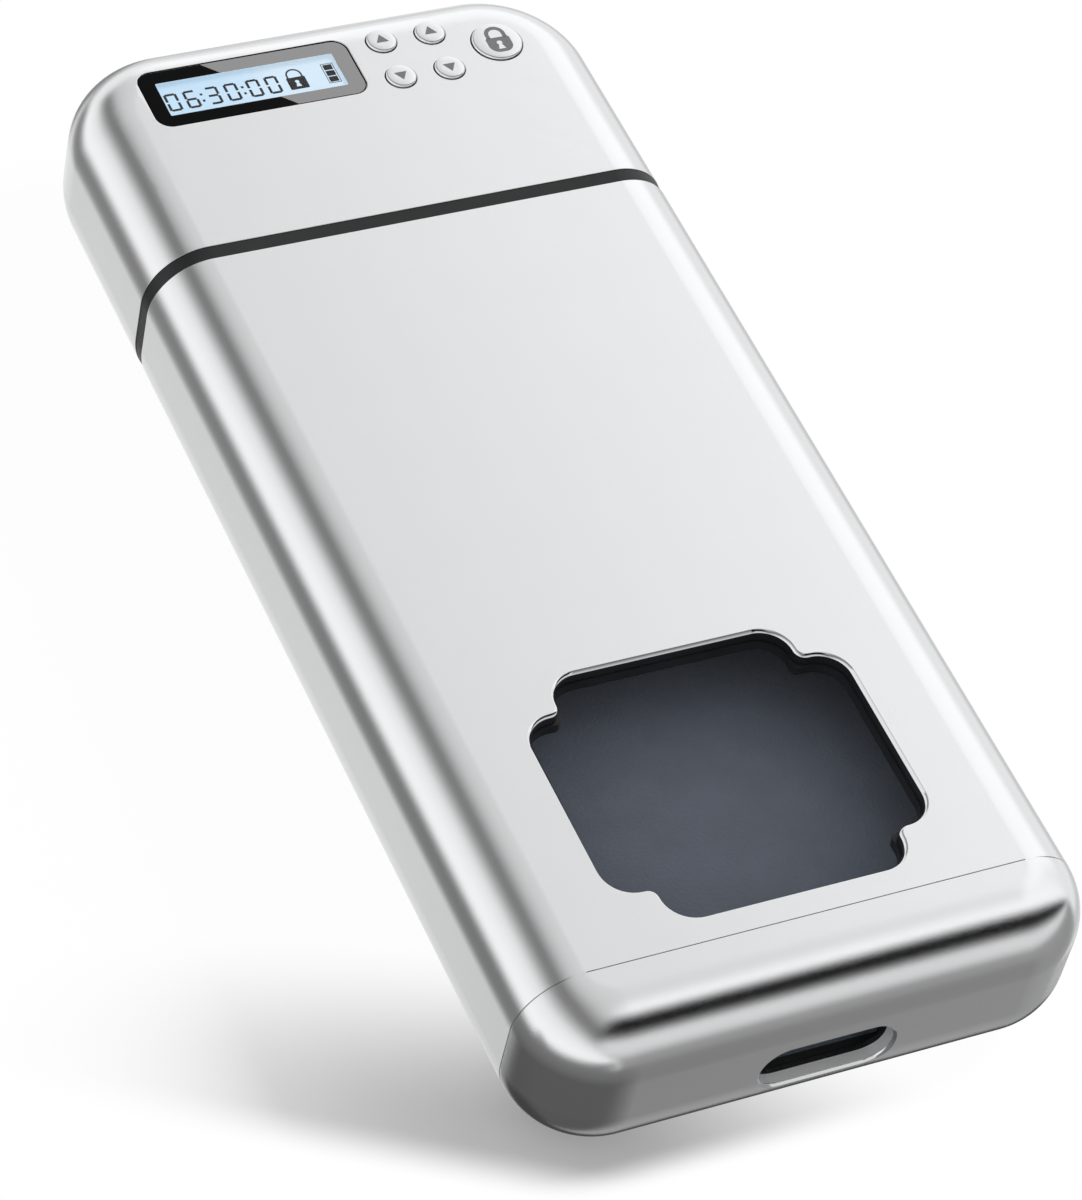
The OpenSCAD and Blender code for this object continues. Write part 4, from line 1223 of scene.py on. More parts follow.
@dataclass
class Container:
    """The half with the bay: sleeve, foot cap and their openings."""

    body: Body
    seam_edge_r: float = 0.05
    mouth_edge_r: float = 0.1
    window_w: float = 51.8
    window_neck_w: float = 38.4
    window_l: float = 45.8
    window_wide_l: float = 32.7
    window_from_foot: float = 40.9
    window_r: float = 4.6
    window_step_r: float = 1.9
    window_chamfer: float = 0.45
    window_ease: float = 0.06
    window_dip: float = 0.015
    window_knee: float = 0.05
    slot_w: float = 21.2
    slot_h: float = 8.4
    slot_z: float = 13.65
    slot_end_flat: float = 0.1
    slot_rim: float = 0.5
    slot_ease: float = 0.07
    slot_dip: float = 0.02
    slot_knee: float = 0.06
    slot_painted_shade_depth: float = 2.2
    # How deep the slot's lit metal wall goes; deeper than this its wall is painted shade.
    patch_side: float = 3.0
    patch_start: float = 0.62

    def window_outline(self) -> list[Station]:
        """The window's outline: a wide part across a long part.

        Returns:
            The outline's points.
        """
        wide_x, wide_y = self.window_w / 2, self.window_wide_l / 2
        neck_x, neck_y = self.window_neck_w / 2, self.window_l / 2
        middle = self.body.foot_y + self.window_from_foot
        quarter = [
            (wide_x, wide_y, self.window_r),
            (neck_x, wide_y, self.window_step_r),
            (neck_x, neck_y, self.window_r),
        ]
        corners = []
        for sx, sy in ((1, 1), (-1, 1), (-1, -1), (1, -1)):
            part = quarter if sx * sy > 0 else quarter[::-1]
            corners += [Corner(sx * x, middle + sy * y, r) for x, y, r in part]
        return rounded_outline(corners, steps=10)

    def sleeve(self) -> bpy.types.Object:
        """The long open tube with the window in its front.

        Returns:
            The piece.
        """
        body, plan = self.body, MeshPlan()
        low = body.rim(body.sleeve_low_y, -1, body.wall, self.seam_edge_r)
        high = body.rim(body.sleeve_high_y, 1, body.wall, self.mouth_edge_r)
        plan.loft(low)
        plan.loft(high)
        plan.bridge(low[0], high[0], True, 0, [FRONT_EDGE])
        plan.bridge(low[-1], high[-1], True, 0, [FRONT_EDGE])
        outline = self.window_outline()
        cut, ease, knee = self.window_chamfer, self.window_ease, self.window_knee
        steps = [(cut + ease + HOLD, 0.0), (cut + ease, 0.0), (cut, self.window_dip)]
        steps += [(knee, cut - knee), (0.0, cut + knee), (0.0, body.wall)]
        # The window's wall below its chamfer gets the near-black finish: a painted reflection of the dark bay
        # and painted shade, not the metal's own colour.
        window = Opening([(outline, out, deep) for out, deep in steps], (1, 1, 1, 1, 2))
        for ring, loop_number, height in ((low[0], 0, body.top), (low[-1], -1, body.top - body.wall)):
            far = high[0] if loop_number == 0 else high[-1]
            corners = [ring[FRONT_EDGE], ring[FRONT_EDGE + 1], far[FRONT_EDGE + 1], far[FRONT_EDGE]]
            outer = [(c.x, c.y) for c in corners]
            plan.fill([outer, window.loop(loop_number)], lambda x, y, z=height: Vector((x, y, z)))
        window.cut(
            plan,
            lambda x, y, deep: Vector((x, y, body.top - deep)),
            lambda x, y: Vector((x, y, body.top - body.wall)),
        )
        finishes = [finish.material() for finish in (Finish.SATIN, Finish.POLISHED, Finish.PAINTED_SHADE_CUT)]
        return plan.piece("sleeve_shell", finishes)

    def foot_cap(self) -> bpy.types.Object:
        """The foot cap with the charging slot in its end wall.

        Returns:
            The piece.
        """
        body = self.body
        open_y = body.cap_y - self.seam_edge_r - HOLD
        outer = Skin(body, 0.0, open_y, body.foot_y, body.foot_plan_r)
        inner_end = body.foot_y + body.foot_wall - body.wall
        inner = Skin(body, body.wall, open_y, inner_end, body.foot_plan_r)
        end_r = self.slot_h / 2 - self.slot_end_flat
        outline = round_rectangle((0.0, self.slot_z), self.slot_w, self.slot_h, end_r)
        rim, dip, knee = self.slot_rim, self.slot_dip, self.slot_knee
        # The slot's wall is lit metal only to a set depth; deeper, to the inner skin, it is painted near
        # black: painted shade deep in the slot.
        steps = [(rim + HOLD, 0.0), (rim, 0.0), (rim - self.slot_ease, dip), (knee, rim - 2 * knee)]
        steps += [(0.0, rim + dip), (0.0, self.slot_painted_shade_depth), (0.0, 0.0)]
        slot = Opening([(outline, out, deep) for out, deep in steps], (1, 1, 1, 1, 2, 3))
        first_row = int(ARC_STEPS * self.patch_start)
        end = EndPatch(slot, 0.0, self.slot_w / 2 + self.patch_side, first_row, ARC_STEPS + 1)
        shell = Shell(outer, inner, self.seam_edge_r, end=end)
        dressed = (Finish.SATIN, Finish.POLISHED, Finish.SLOT_WALL, Finish.PAINTED_SHADE_CUT)
        return shell.plan().piece("foot_cap_shell", [finish.material() for finish in dressed])

    def build(self) -> None:
        """Makes the sleeve and the foot cap."""
        add_piece(self.sleeve(), "container", "silver_metal", "sleeve")
        add_piece(self.foot_cap(), "container", "silver_metal", "end_cap")


# ---------------------------------------------------------------- screws


@dataclass(frozen=True)
class ScrewSet:
    """A set of equal screws along the container: where their heads are and which way they point."""

    node: str
    body: str
    way: int
    shank_r: float
    head_r: float
    head_t: float = 1.2
    spots: tuple[Flat, ...] = ()
    pitch: float = 0.5
    core_share: float = 0.8
    recess_share: float = 0.85

    def places(self) -> list[Flat]:
        """The screws' places, read from the frame where there are two.

        Returns:
            Their places across the body and up from its back.
        """
        low, high = node_box(self.node)
        reach, height = high.x - self.head_r, (low.z + high.z) / 2
        return list(self.spots) or [(-reach, height), (reach, height)]

    def build(self) -> None:
        """Grows the screws and puts them in the place of the frame's."""
        low, high = node_box(self.node)
        seat = low.y + self.head_t if self.way > 0 else high.y - self.head_t
        grip = high.y - low.y - self.head_t
        tree = Growth(self.node + "_tree")
        head_r, head_t = tree.size("Head Radius", self.head_r), tree.size("Head Height", self.head_t)
        shank_r = tree.size("Core Radius", self.shank_r * self.core_share)
        length = tree.size("Length", grip)
        thread_r, pitch = tree.size("Thread Radius", self.shank_r), tree.size("Pitch", self.pitch)
        recess_r = tree.size("Recess Radius", self.shank_r * self.recess_share)
        head_z, shank_z = tree.maths("MULTIPLY", head_t, -0.5), tree.maths("MULTIPLY", length, 0.5)
        head = self.rod(tree, 40, head_r, head_t, head_z)
        recess = self.rod(tree, 6, recess_r, head_t, tree.maths("MULTIPLY", head_t, -1.0))
        cut = tree.add("GeometryNodeMeshBoolean", {"Mesh 1": head, "Mesh 2": recess}, operation="DIFFERENCE")
        shank = self.rod(tree, 24, shank_r, length, shank_z)
        ring = {"Vertices": 24, "Radius Top": shank_r, "Radius Bottom": thread_r, "Depth": pitch}
        ring = tree.add("GeometryNodeMeshCone", ring).outputs["Mesh"]
        step = tree.vector(0.0, 0.0, pitch)
        count = int((grip - self.pitch) / self.pitch)
        line = {"Count": count, "Start Location": step, "Offset": step}
        thread = tree.repeat(ring, tree.add("GeometryNodeMeshLine", line).outputs[0])
        screw = tree.joined(cut.outputs["Mesh"], shank, thread)
        turn = tree.vector(tree.named("turn"))
        shape = tree.repeat(screw, tree.source.outputs["Geometry"], Rotation=turn)
        places = self.places()
        points = [Vector((x, seat, z)) for x, z in places]
        turns = {"turn": [-math.pi / 2 * self.way] * len(points)}
        made = tree.grow(shape, self.node + "_threaded", points, turns, Finish.SCREW.material())
        add_piece(made, self.body, "screw_steel", self.node)

    def rod(
        self, tree: Growth, sides: int, radius: object, depth: object, height: object
    ) -> bpy.types.NodeSocket:
        """A rod about the tree's upright axis.

        Args:
            tree: the tree.
            sides: the number of its sides.
            radius: its radius.
            depth: its length.
            height: the height of its middle.

        Returns:
            The rod.
        """
        rod = tree.add("GeometryNodeMeshCylinder", {"Vertices": sides, "Radius": radius, "Depth": depth})
        moved = {"Geometry": rod.outputs["Mesh"], "Translation": tree.vector(0.0, 0.0, height)}
        return tree.add("GeometryNodeTransform", moved).outputs[0]


SCREW_SETS = (
    ScrewSet("end_cap_screws", "container", -1, 1.2, 3.6),
    ScrewSet("bulkhead_screws", "head", 1, 0.95, 2.0, spots=((-31, 24.6), (31, 24.6), (-33, 6.2), (33, 6.2))),
)


# ---------------------------------------------------------------- foam


@dataclass
class Foam:
    """The soft pieces at the back and at the foot of the bay."""

    body: Body
    pad_edge_r: float = 2.4
    pad_foot_r: float = 9.0
    pad_least_r: float = 1.0
    pad_head_r: float = 1.5
    pad_head_draw: float = 0.4
    crown: float = 0.5
    crown_reach: float = 6.0
    skin: float = 0.05
    bumper_plan_r: float = 9.9
    bumper_edges: tuple[Flat, ...] = (
        (0.03, 0.5), (0.15, 0.15), (0.5, 0.03), (1.5, 0.03), (1.85, 0.15), (1.97, 0.5),
    )
    cable_way: tuple[float, float, float] = (22.8, 8.95, 24.2)
    cable_way_r: float = 0.6
    screw_rooms: tuple[float, float, float] = (26.0, 16.0, 3.9)

    def pad(self) -> bpy.types.Object:
        """The back pad: its lower edges follow the bay, and its top is crowned with soft edges.

        Returns:
            The piece.
        """
        low, high = node_box("back_pad")
        body, plan = self.body, MeshPlan()
        inset = low.z + self.skin
        centre_y = (low.y + high.y) / 2
        half_l = (high.y - low.y) / 2 - self.skin
        rings = []
        top = high.z - self.skin - self.crown
        rows = [(depth, z) for depth, z in body.profile(inset) if z <= top - self.pad_edge_r]
        rows.append((inset, top - self.pad_edge_r))
        for turn in (22.5, 45, 67.5, 90):
            angle = math.radians(turn)
            rows.append((
                inset + self.pad_edge_r * (1 - math.cos(angle)),
                top - self.pad_edge_r * (1 - math.sin(angle)),
            ))
        for share in (0.25, 0.5, 0.75, 1.0):
            rise = self.crown * math.sin(share * math.pi / 2)
            rows.append((inset + self.pad_edge_r + self.crown_reach * share, top + rise))
        for depth, z in rows:
            half_w = body.half_w - depth
            shrink = depth - inset
            foot_y, foot_r = centre_y - half_l + shrink, max(self.pad_least_r, self.pad_foot_r - shrink)
            head_y, head_r = centre_y + half_l - shrink * self.pad_head_draw, self.pad_head_r
            corners = [
                Corner(-half_w, foot_y, foot_r), Corner(half_w, foot_y, foot_r),
                Corner(half_w, head_y, head_r), Corner(-half_w, head_y, head_r),
            ]
            rings.append([Vector((*s.moved(0), z)) for s in rounded_outline(corners, steps=10)])
        plan.loft(rings)
        for ring in (rings[0], rings[-1]):
            plan.fill([[(v.x, v.y) for v in ring]], lambda x, y, z=ring[0].z: Vector((x, y, z)))
        return plan.piece("back_pad_foam", [Finish.FOAM.material()], sharp=50)

    def bumper(self) -> bpy.types.Object:
        """The bumper at the bay's foot, with soft edges, a way for the cable and room for the screw heads.

        Returns:
            The piece.
        """
        low, high = node_box("end_bumper")
        body, plan = self.body, MeshPlan()
        plan_r, thick = self.bumper_plan_r, high.y - low.y
        reach = math.sqrt(plan_r**2 - (plan_r - thick) ** 2)
        low_r, high_r = body.back_r - low.z, body.front_r - (body.top - high.z)
        rings = []
        for deep, shrink in self.bumper_edges:
            half = high.x - reach + math.sqrt(plan_r**2 - (plan_r - deep) ** 2) - shrink
            lower, upper = (low.z + shrink, low_r - shrink), (high.z - shrink, high_r - shrink)
            corners = [
                Corner(-half, *lower), Corner(half, *lower), Corner(half, *upper), Corner(-half, *upper),
            ]
            rings.append([Vector((s.x, low.y + deep, s.y)) for s in rounded_outline(corners)])
        plan.loft(rings)
        way_w, way_low, way_high = self.cable_way
        screw_x, screw_z, screw_r = self.screw_rooms
        way_middle = (0, (way_low + way_high) / 2)
        loops = [round_rectangle(way_middle, way_w, way_high - way_low, self.cable_way_r)]
        loops += [circle((x, screw_z), screw_r, steps=40) for x in (-screw_x, screw_x)]
        holes = [[s.moved(0) for s in loop] for loop in loops]
        for ring in (rings[0], rings[-1]):
            plan.fill([[(v.x, v.z) for v in ring], *holes], lambda x, z, y=ring[0].y: Vector((x, y, z)))
        for hole in holes:
            plan.bridge(*([Vector((x, ring[0].y, z)) for x, z in hole] for ring in (rings[0], rings[-1])))
        return plan.piece("end_bumper_foam", [Finish.FOAM.material()], sharp=50)

    def build(self) -> None:
        """Makes the foam pieces."""
        for piece, node in ((self.pad(), "back_pad"), (self.bumper(), "end_bumper")):
            add_piece(piece, "container", "slate_foam", node)


# ---------------------------------------------------------------- lock head


@dataclass(frozen=True)
class Button:
    """One round button: its CAD piece, its body and the icon on it."""

    node: str
    body: str
    icon: str


@dataclass
class Head:
    """The pull-off lock head: its shell, lens, display and buttons."""

    body: Body
    mouth_edge_r: float = 0.1
    lens_gap: float = 0.1
    lens_r: float = 2.6
    lens_ledge: float = 1.5
    lens_edge_r: float = 0.12
    ledge_corner: float = 0.8
    button_gap: float = 0.15
    button_edge_r: float = 0.12
    pane: tuple[float, float, float, float] = (-30.05, 0.55, 84.5, 92.0)
    pane_r: float = 0.25
    pane_ledge: float = 0.6
    pane_play: float = 0.02
    print_t: float = 0.12
    glass_edge_r: float = 0.08
    glass_gap: float = 0.3
    upper_glass_r: float = 0.9
    lower_glass_r: float = 0.3
    cap_edge_r: float = 0.4
    flange_rim: float = 0.75
    flange_t: float = 0.6
    flange_gap: float = 0.55
    plunger_r: float = 1.3
    plunger_edge: float = 0.2
    socket_w: float = 9.24
    socket_h: float = 3.56
    socket_end_flat: float = 0.05
    socket_edge_r: float = 0.2
    socket_side: float = 1.2
    buttons: tuple[Button, ...] = (
        Button("hours_up_button", "hours_up", "up"),
        Button("hours_down_button", "hours_down", "down"),
        Button("minutes_up_button", "minutes_up", "up"),
        Button("minutes_down_button", "minutes_down", "down"),
        Button("lock_button", "lock_key", "padlock"),
    )

    def button_place(self, button: Button) -> tuple[Flat, float]:
        """Where a button is.

        Args:
            button: the button.

        Returns:
            The button's centre and the radius of its cap.
        """
        low, high = node_box(button.node)
        return ((low.x + high.x) / 2, (low.y + high.y) / 2), (high.x - low.x) / 2 - self.flange_rim

    def shell(self) -> bpy.types.Object:
        """The head's shell with its lens pocket, button holes and charging hole.

        Returns:
            The piece.
        """
        body = self.body
        open_y = body.mouth_y + self.mouth_edge_r + HOLD
        outer = Skin(body, 0.0, open_y, body.head_y, body.head_plan_r)
        inner = Skin(body, body.wall, open_y, body.head_y, body.head_plan_r)
        low, high = node_box("display_lens")
        middle = ((low.x + high.x) / 2, (low.y + high.y) / 2)
        lens_w, lens_l = high.x - low.x, high.y - low.y
        pocket = round_rectangle(middle, lens_w + 2 * self.lens_gap, lens_l + 2 * self.lens_gap, self.lens_r)
        inside_w, inside_l = lens_w - 2 * self.lens_ledge, lens_l - 2 * self.lens_ledge
        hole = round_rectangle(middle, inside_w, inside_l, self.lens_r - self.ledge_corner)
        floor = body.top - low.z
        rings = rolled_rim(pocket, self.lens_edge_r, floor)
        openings = [Opening([*rings, (hole, 0.0, floor), (hole, 0.0, body.wall)])]
        for button in self.buttons:
            centre, radius = self.button_place(button)
            rim = circle(centre, radius + self.button_gap)
            openings.append(Opening(rolled_rim(rim, self.button_edge_r, body.wall)))
        socket_low, socket_high = node_box("charge_socket")
        socket = ((socket_low.x + socket_high.x) / 2, (socket_low.z + socket_high.z) / 2)
        end_r = self.socket_h / 2 - self.socket_end_flat
        outline = round_rectangle(socket, self.socket_w, self.socket_h, end_r)
        rim = Opening(rolled_rim(outline, self.socket_edge_r, 0.0))
        half = self.socket_w / 2 + self.socket_side
        end = EndPatch(rim, socket[0], half, ARC_STEPS, ARC_STEPS + 1)
        shell = Shell(outer, inner, self.mouth_edge_r, openings, end)
        return shell.plan().piece("head_shell_metal", [Finish.SATIN.material()])

    def lens(self) -> bpy.types.Object:
        """The lens's black printed border, round its clear pane.

        Returns:
            The piece.
        """
        low, high = node_box("display_lens")
        middle = ((low.x + high.x) / 2, (low.y + high.y) / 2)
        outline = round_rectangle(middle, high.x - low.x, high.y - low.y, self.lens_r - self.lens_gap)
        plan, edge = MeshPlan(), self.lens_edge_r
        rings = [(-edge - HOLD, low.z), (-edge, low.z), (0.0, low.z + edge)]
        for turn in EDGE_TURNS:
            angle = math.radians(turn)
            rings.append((-edge * (1 - math.cos(angle)), high.z - edge * (1 - math.sin(angle))))
        rings.append((-edge - HOLD, high.z))
        rows = [[Vector((*s.moved(out), z)) for s in outline] for out, z in rings]
        plan.loft(rows)
        window = self.pane_outline()
        print_z = high.z - self.print_t
        steps = [(self.pane_ledge, low.z), (self.pane_ledge, print_z), (0.0, print_z), (0.0, high.z)]
        inner = [[Vector((*s.moved(out), z)) for s in window] for out, z in steps]
        plan.loft(inner)
        for row, hole in ((rows[0], inner[0]), (rows[-1], inner[-1])):
            loops = [[(v.x, v.y) for v in ring] for ring in (row, hole)]
            plan.fill(loops, lambda x, y, z=row[0].z: Vector((x, y, z)))
        return plan.piece("display_lens_border", [Finish.LENS.material()])

    def pane_outline(self) -> list[Station]:
        """Outline of the clear pane in the lens.

        Returns:
            The outline's points.
        """
        low_x, high_x, low_y, high_y = self.pane
        middle = ((low_x + high_x) / 2, (low_y + high_y) / 2)
        return round_rectangle(middle, high_x - low_x, high_y - low_y, self.pane_r)

    def clear_pane(self) -> bpy.types.Object:
        """The clear part of the lens, level with its border and wider behind the print.

        Returns:
            The piece.
        """
        low, high = node_box("display_lens")
        plan, play = MeshPlan(), self.pane_play
        wide, shoulder = self.pane_ledge - play, high.z - self.print_t - play
        steps = [(wide, low.z + play), (wide, shoulder), (-play / 2, shoulder), (-play / 2, high.z)]
        rows = [[Vector((*s.moved(out), z)) for s in self.pane_outline()] for out, z in steps]
        plan.loft(rows)
        for row in (rows[0], rows[-1]):
            plan.fill([[(v.x, v.y) for v in row]], lambda x, y, z=row[0].z: Vector((x, y, z)))
        return plan.piece("display_lens_pane", [Finish.PANE.material()])

    def display(self) -> bpy.types.Object:
        """The two glasses of the display, the upper one lit.

        Returns:
            The piece.
        """
        low, high = node_box("lcd_panel")
        lens_low, lens_high = node_box("display_lens")
        middle = ((lens_low.x + lens_high.x) / 2, (lens_low.y + lens_high.y) / 2)
        margin = self.lens_ledge + self.glass_gap
        upper_w = lens_high.x - lens_low.x - 2 * margin
        upper_l = lens_high.y - lens_low.y - 2 * margin
        lower_middle = ((low.x + high.x) / 2, (low.y + high.y) / 2)
        step = (low.z + high.z) / 2
        plan, edge = MeshPlan(), self.glass_edge_r
        lower = round_rectangle(lower_middle, high.x - low.x, high.y - low.y, self.lower_glass_r)
        upper = round_rectangle(middle, upper_w, upper_l, self.upper_glass_r)
        rings = (
            (lower, -edge, low.z), (lower, 0, low.z + edge), (lower, 0, step - edge), (lower, -edge, step),
            (upper, 0, step), (upper, 0, high.z - edge), (upper, -edge, high.z),
        )
        rows = [[Vector((*s.moved(out), z)) for s in outline] for outline, out, z in rings]
        plan.loft(rows)
        for row in (rows[0], rows[-1]):
            plan.fill([[(v.x, v.y) for v in row]], lambda x, y, z=row[0].z: Vector((x, y, z)))
        return plan.piece("lcd_glasses", [Finish.LCD.material()])

    def cap(self, button: Button) -> bpy.types.Object:
        """One button with its flange, its foot and the icon printed on its cap.

        Args:
            button: the button.

        Returns:
            The piece.
        """
        low, high = node_box(button.node)
        centre, radius = self.button_place(button)
        flange, foot_r, foot_edge = (high.x - low.x) / 2, self.plunger_r, self.plunger_edge
        top, edge = high.z, self.cap_edge_r
        flange_top = self.body.top - self.body.wall - self.flange_gap
        flange_low = flange_top - self.flange_t
        profile: list[Flat] = [(0, low.z), (foot_r - foot_edge, low.z), (foot_r, low.z + foot_edge)]
        profile += [(foot_r, flange_low), (flange, flange_low), (flange, flange_top)]
        profile += [(radius, flange_top), (radius, top - edge)]
        for turn in (15, 30, 45, 60, 75, 90):
            angle = math.radians(turn)
            profile.append((radius - edge * (1 - math.cos(angle)), top - edge * (1 - math.sin(angle))))
        profile += [(radius * 0.5, top), (0, top)]
        plan = MeshPlan()
        plan.spin(profile, centre, steps=96)
        Icon(centre, top).add_to(plan, button.icon)
        return plan.piece(button.node + "_cap", [Finish.SATIN.material(), Finish.ICON_INK.material()])

    def build(self) -> bpy.types.Object:
        """Makes the head's visible pieces.

        Returns:
            The lens's border, for its glare lamp.
        """
        add_piece(self.shell(), "head", "silver_metal", "head_shell")
        border = add_piece(self.lens(), "head", "lens_black", "display_lens")
        add_piece(self.clear_pane(), "head", "light_guide")
        add_piece(self.display(), "head", "lcd_blue", "lcd_panel")
        Readout(node_box("lcd_panel")[1].z).build()
        for button in self.buttons:
            add_piece(self.cap(button), button.body, "silver_metal", button.node)
        return border


@dataclass
class Readout:
    """The display's plain numbers and its two icons, a little above the upper glass."""

    floor: float
    numbers: str = "06:30:00"
    starts: tuple[float, ...] = (-29.4, -26.2, -23.3, -22.5, -19.2, -16.2, -15.4, -12.2)
    low_y: float = 86.05
    high_y: float = 90.0
    digit_w: float = 2.2
    stroke: float = 0.42
    break_l: float = 0.2
    dots_y: Flat = (1.2, 2.65)
    ink: float = 0.04
    padlock: tuple[float, ...] = (-7.0, 87.5, 3.2, 2.7, 0.28, 0.15)
    gauge: tuple[float, ...] = (-0.9, 88.4, 2.12, 4.5)
    gauge_line: float = 0.1
    bar: Flat = (1.5, 1.15)
    bar_step: float = 1.38
    bar_r: float = 0.06

    def strokes(self) -> tuple[list[Vector], dict[str, list[float]]]:
        """Lays out the numbers' strokes.

        Returns:
            Their places, and their lengths and turns by name.
        """
        half_h = (self.high_y - self.low_y) / 2
        lit = {"0": "abcdef", "6": "acdefg", "3": "abcdg"}
        across, upright = self.digit_w - self.stroke - self.break_l, half_h - self.stroke / 2 - self.break_l
        right, inset, middle = self.digit_w - self.stroke / 2, self.stroke / 2, self.digit_w / 2
        parts = {
            "a": (middle, 2 * half_h - inset, across, 0.0),
            "b": (right, 1.5 * half_h, upright, 1.0),
            "c": (right, half_h / 2, upright, 1.0),
            "d": (middle, inset, across, 0.0),
            "e": (inset, half_h / 2, upright, 1.0),
            "f": (inset, 1.5 * half_h, upright, 1.0),
            "g": (middle, half_h, across, 0.0),
        }
        points, longs, turns = [], [], []
        for start, sign in zip(self.starts, self.numbers):
            if sign == ":":
                marks = [(0.0, y, self.stroke, 0.0) for y in self.dots_y]
            else:
                marks = [parts[key] for key in lit[sign]]
            for x, y, long, turn in marks:
                points.append(Vector((start + x, self.low_y + y, self.floor + self.ink / 2)))
                longs.append(long * MM)
                turns.append(turn * math.pi / 2)
        return points, {"long": longs, "turn": turns}

    def digits(self) -> bpy.types.Object:
        """The numbers, grown from one stroke.

        Returns:
            The piece.
        """
        tree = Growth("display_strokes_tree")
        bar = tree.add("GeometryNodeMeshCube", {"Size": Vector((1, 1, 1))}).outputs["Mesh"]
        width, ink = tree.size("Stroke Width", self.stroke), tree.size("Ink", self.ink)
        size = tree.vector(tree.named("long"), width, ink)
        turn = tree.vector(0.0, 0.0, tree.named("turn"))
        shape = tree.repeat(bar, tree.source.outputs["Geometry"], Rotation=turn, Scale=size)
        return tree.grow(shape, "display_numbers", *self.strokes(), Finish.LCD_INK.material())

    def icons(self) -> bpy.types.Object:
        """A small padlock and a battery gauge with three bars.

        Returns:
            The piece.
        """
        plan, low, high = MeshPlan(), self.floor, self.floor + self.ink
        for loops in Padlock(*self.padlock).loops():
            plan.plate(loops, low, high)
        x, y, width, length = self.gauge
        line = self.gauge_line
        outer = round_rectangle((x, y), width, length, line)
        inner = round_rectangle((x, y), width - 2 * line, length - 2 * line, self.bar_r)
        plan.plate([outer, inner], low, high)
        for count in (1, 0, -1):
            plan.plate([round_rectangle((x, y + count * self.bar_step), *self.bar, self.bar_r)], low, high)
        return plan.piece("display_icons", [Finish.LCD_INK.material()])

    def build(self) -> None:
        """Makes the numbers and the icons."""
        for piece in (self.digits(), self.icons()):
            add_piece(piece, "head", "lens_black")


@dataclass
class Icon:
    """An icon printed on a button: where it is, and the height of the cap."""

    centre: Flat
    top: float
    ink: float = 0.02
    tip_y: float = 1.22
    base_y: float = -0.62
    half_w: float = 1.1
    arrow_r: float = 0.06
    padlock: tuple[float, ...] = (0.15, -1.1, 4.2, 3.4, 0.72, 1.66)

    def add_to(self, plan: MeshPlan, kind: str) -> None:
        """Adds an icon to the button's piece.

        Args:
            plan: the piece.
            kind: up, down or padlock.
        """
        low, high = self.top - self.ink / 2, self.top + self.ink / 2
        x, y = self.centre
        if kind == "padlock":
            right, up, *sizes = self.padlock
            for loops in Padlock(x + right, y + up, *sizes).loops():
                plan.plate(loops, low, high, 1)
            return
        way = 1 if kind == "up" else -1
        places = ((0.0, self.tip_y), (-self.half_w, self.base_y), (self.half_w, self.base_y))
        corners = [Corner(x + right, y + up * way, self.arrow_r) for right, up in places]
        plan.plate([rounded_outline(corners[::way], 3)], low, high, 1)


@dataclass(frozen=True)
class Padlock:
    """A padlock's outline: a body with a keyhole, and a shackle.

    Attributes:
        x: the middle of its body.
        y: the middle of its body along the container.
        width: the body's width, of which the keyhole's and the shackle's sizes are shares.
        height: the body's height.
        thick: the shackle's thickness.
        foot_r: the radius of the body's lower corners.
        head_r: the radius of its upper corners, where that is less.
        overlap: how far the shackle reaches into the body.
    """

    x: float
    y: float
    width: float
    height: float
    thick: float
    foot_r: float
    head_r: float = 0.35
    hole_r: float = 0.115
    hole_rise: float = 0.13
    hole_turn: Flat = (-55, 290)
    hole_steps: int = 12
    stem_w: float = 0.15
    stem_drop: float = 0.42
    bow_r: float = 0.43
    bow_rise: float = 0.2
    overlap: float = 0.1

    def keyhole(self) -> list[Station]:
        """A round hole over a stem that widens downwards.

        Returns:
            The hole's points.
        """
        radius, middle_y = self.width * self.hole_r, self.y + self.height * self.hole_rise
        points = []
        start, turn = self.hole_turn
        for step in range(self.hole_steps + 1):
            angle = math.radians(start + turn * step / self.hole_steps)
            points.append((self.x + radius * math.cos(angle), middle_y + radius * math.sin(angle)))
        foot_y = middle_y - self.height * self.stem_drop
        points += [(self.x + side * self.width * self.stem_w, foot_y) for side in (-1, 1)]
        return [Station(x, y, 0, 0) for x, y in points]

    def shackle(self) -> list[Station]:
        """The bow, from its right foot over to the left and back along its inner side.

        Returns:
            The bow's points.
        """
        outer_r, base = self.width * self.bow_r, self.y + self.height / 2 - self.overlap
        inner_r, middle_y = outer_r - self.thick, base + self.width * self.bow_rise
        points = [(self.x + outer_r, base)]
        for radius, turns in ((outer_r, range(0, 181, 12)), (inner_r, range(180, -1, -12))):
            for turn in turns:
                angle = math.radians(turn)
                points.append((self.x + radius * math.cos(angle), middle_y + radius * math.sin(angle)))
            if radius == outer_r:
                points += [(self.x - outer_r, base), (self.x - inner_r, base)]
        points.append((self.x + inner_r, base))
        return [Station(x, y, 0, 0) for x, y in points]

    def loops(self) -> list[list[list[Station]]]:
        """Outlines of the padlock's parts.

        Returns:
            The loops of the body and of the shackle.
        """
        half_w, half_h = self.width / 2, self.height / 2
        head_r = min(self.head_r, self.foot_r)
        body = rounded_outline([
            Corner(self.x - half_w, self.y - half_h, self.foot_r),
            Corner(self.x + half_w, self.y - half_h, self.foot_r),
            Corner(self.x + half_w, self.y + half_h, head_r),
            Corner(self.x - half_w, self.y + half_h, head_r),
        ], steps=10)
        return [[body, self.keyhole()], [self.shackle()]]


# ---------------------------------------------------------------- inner works


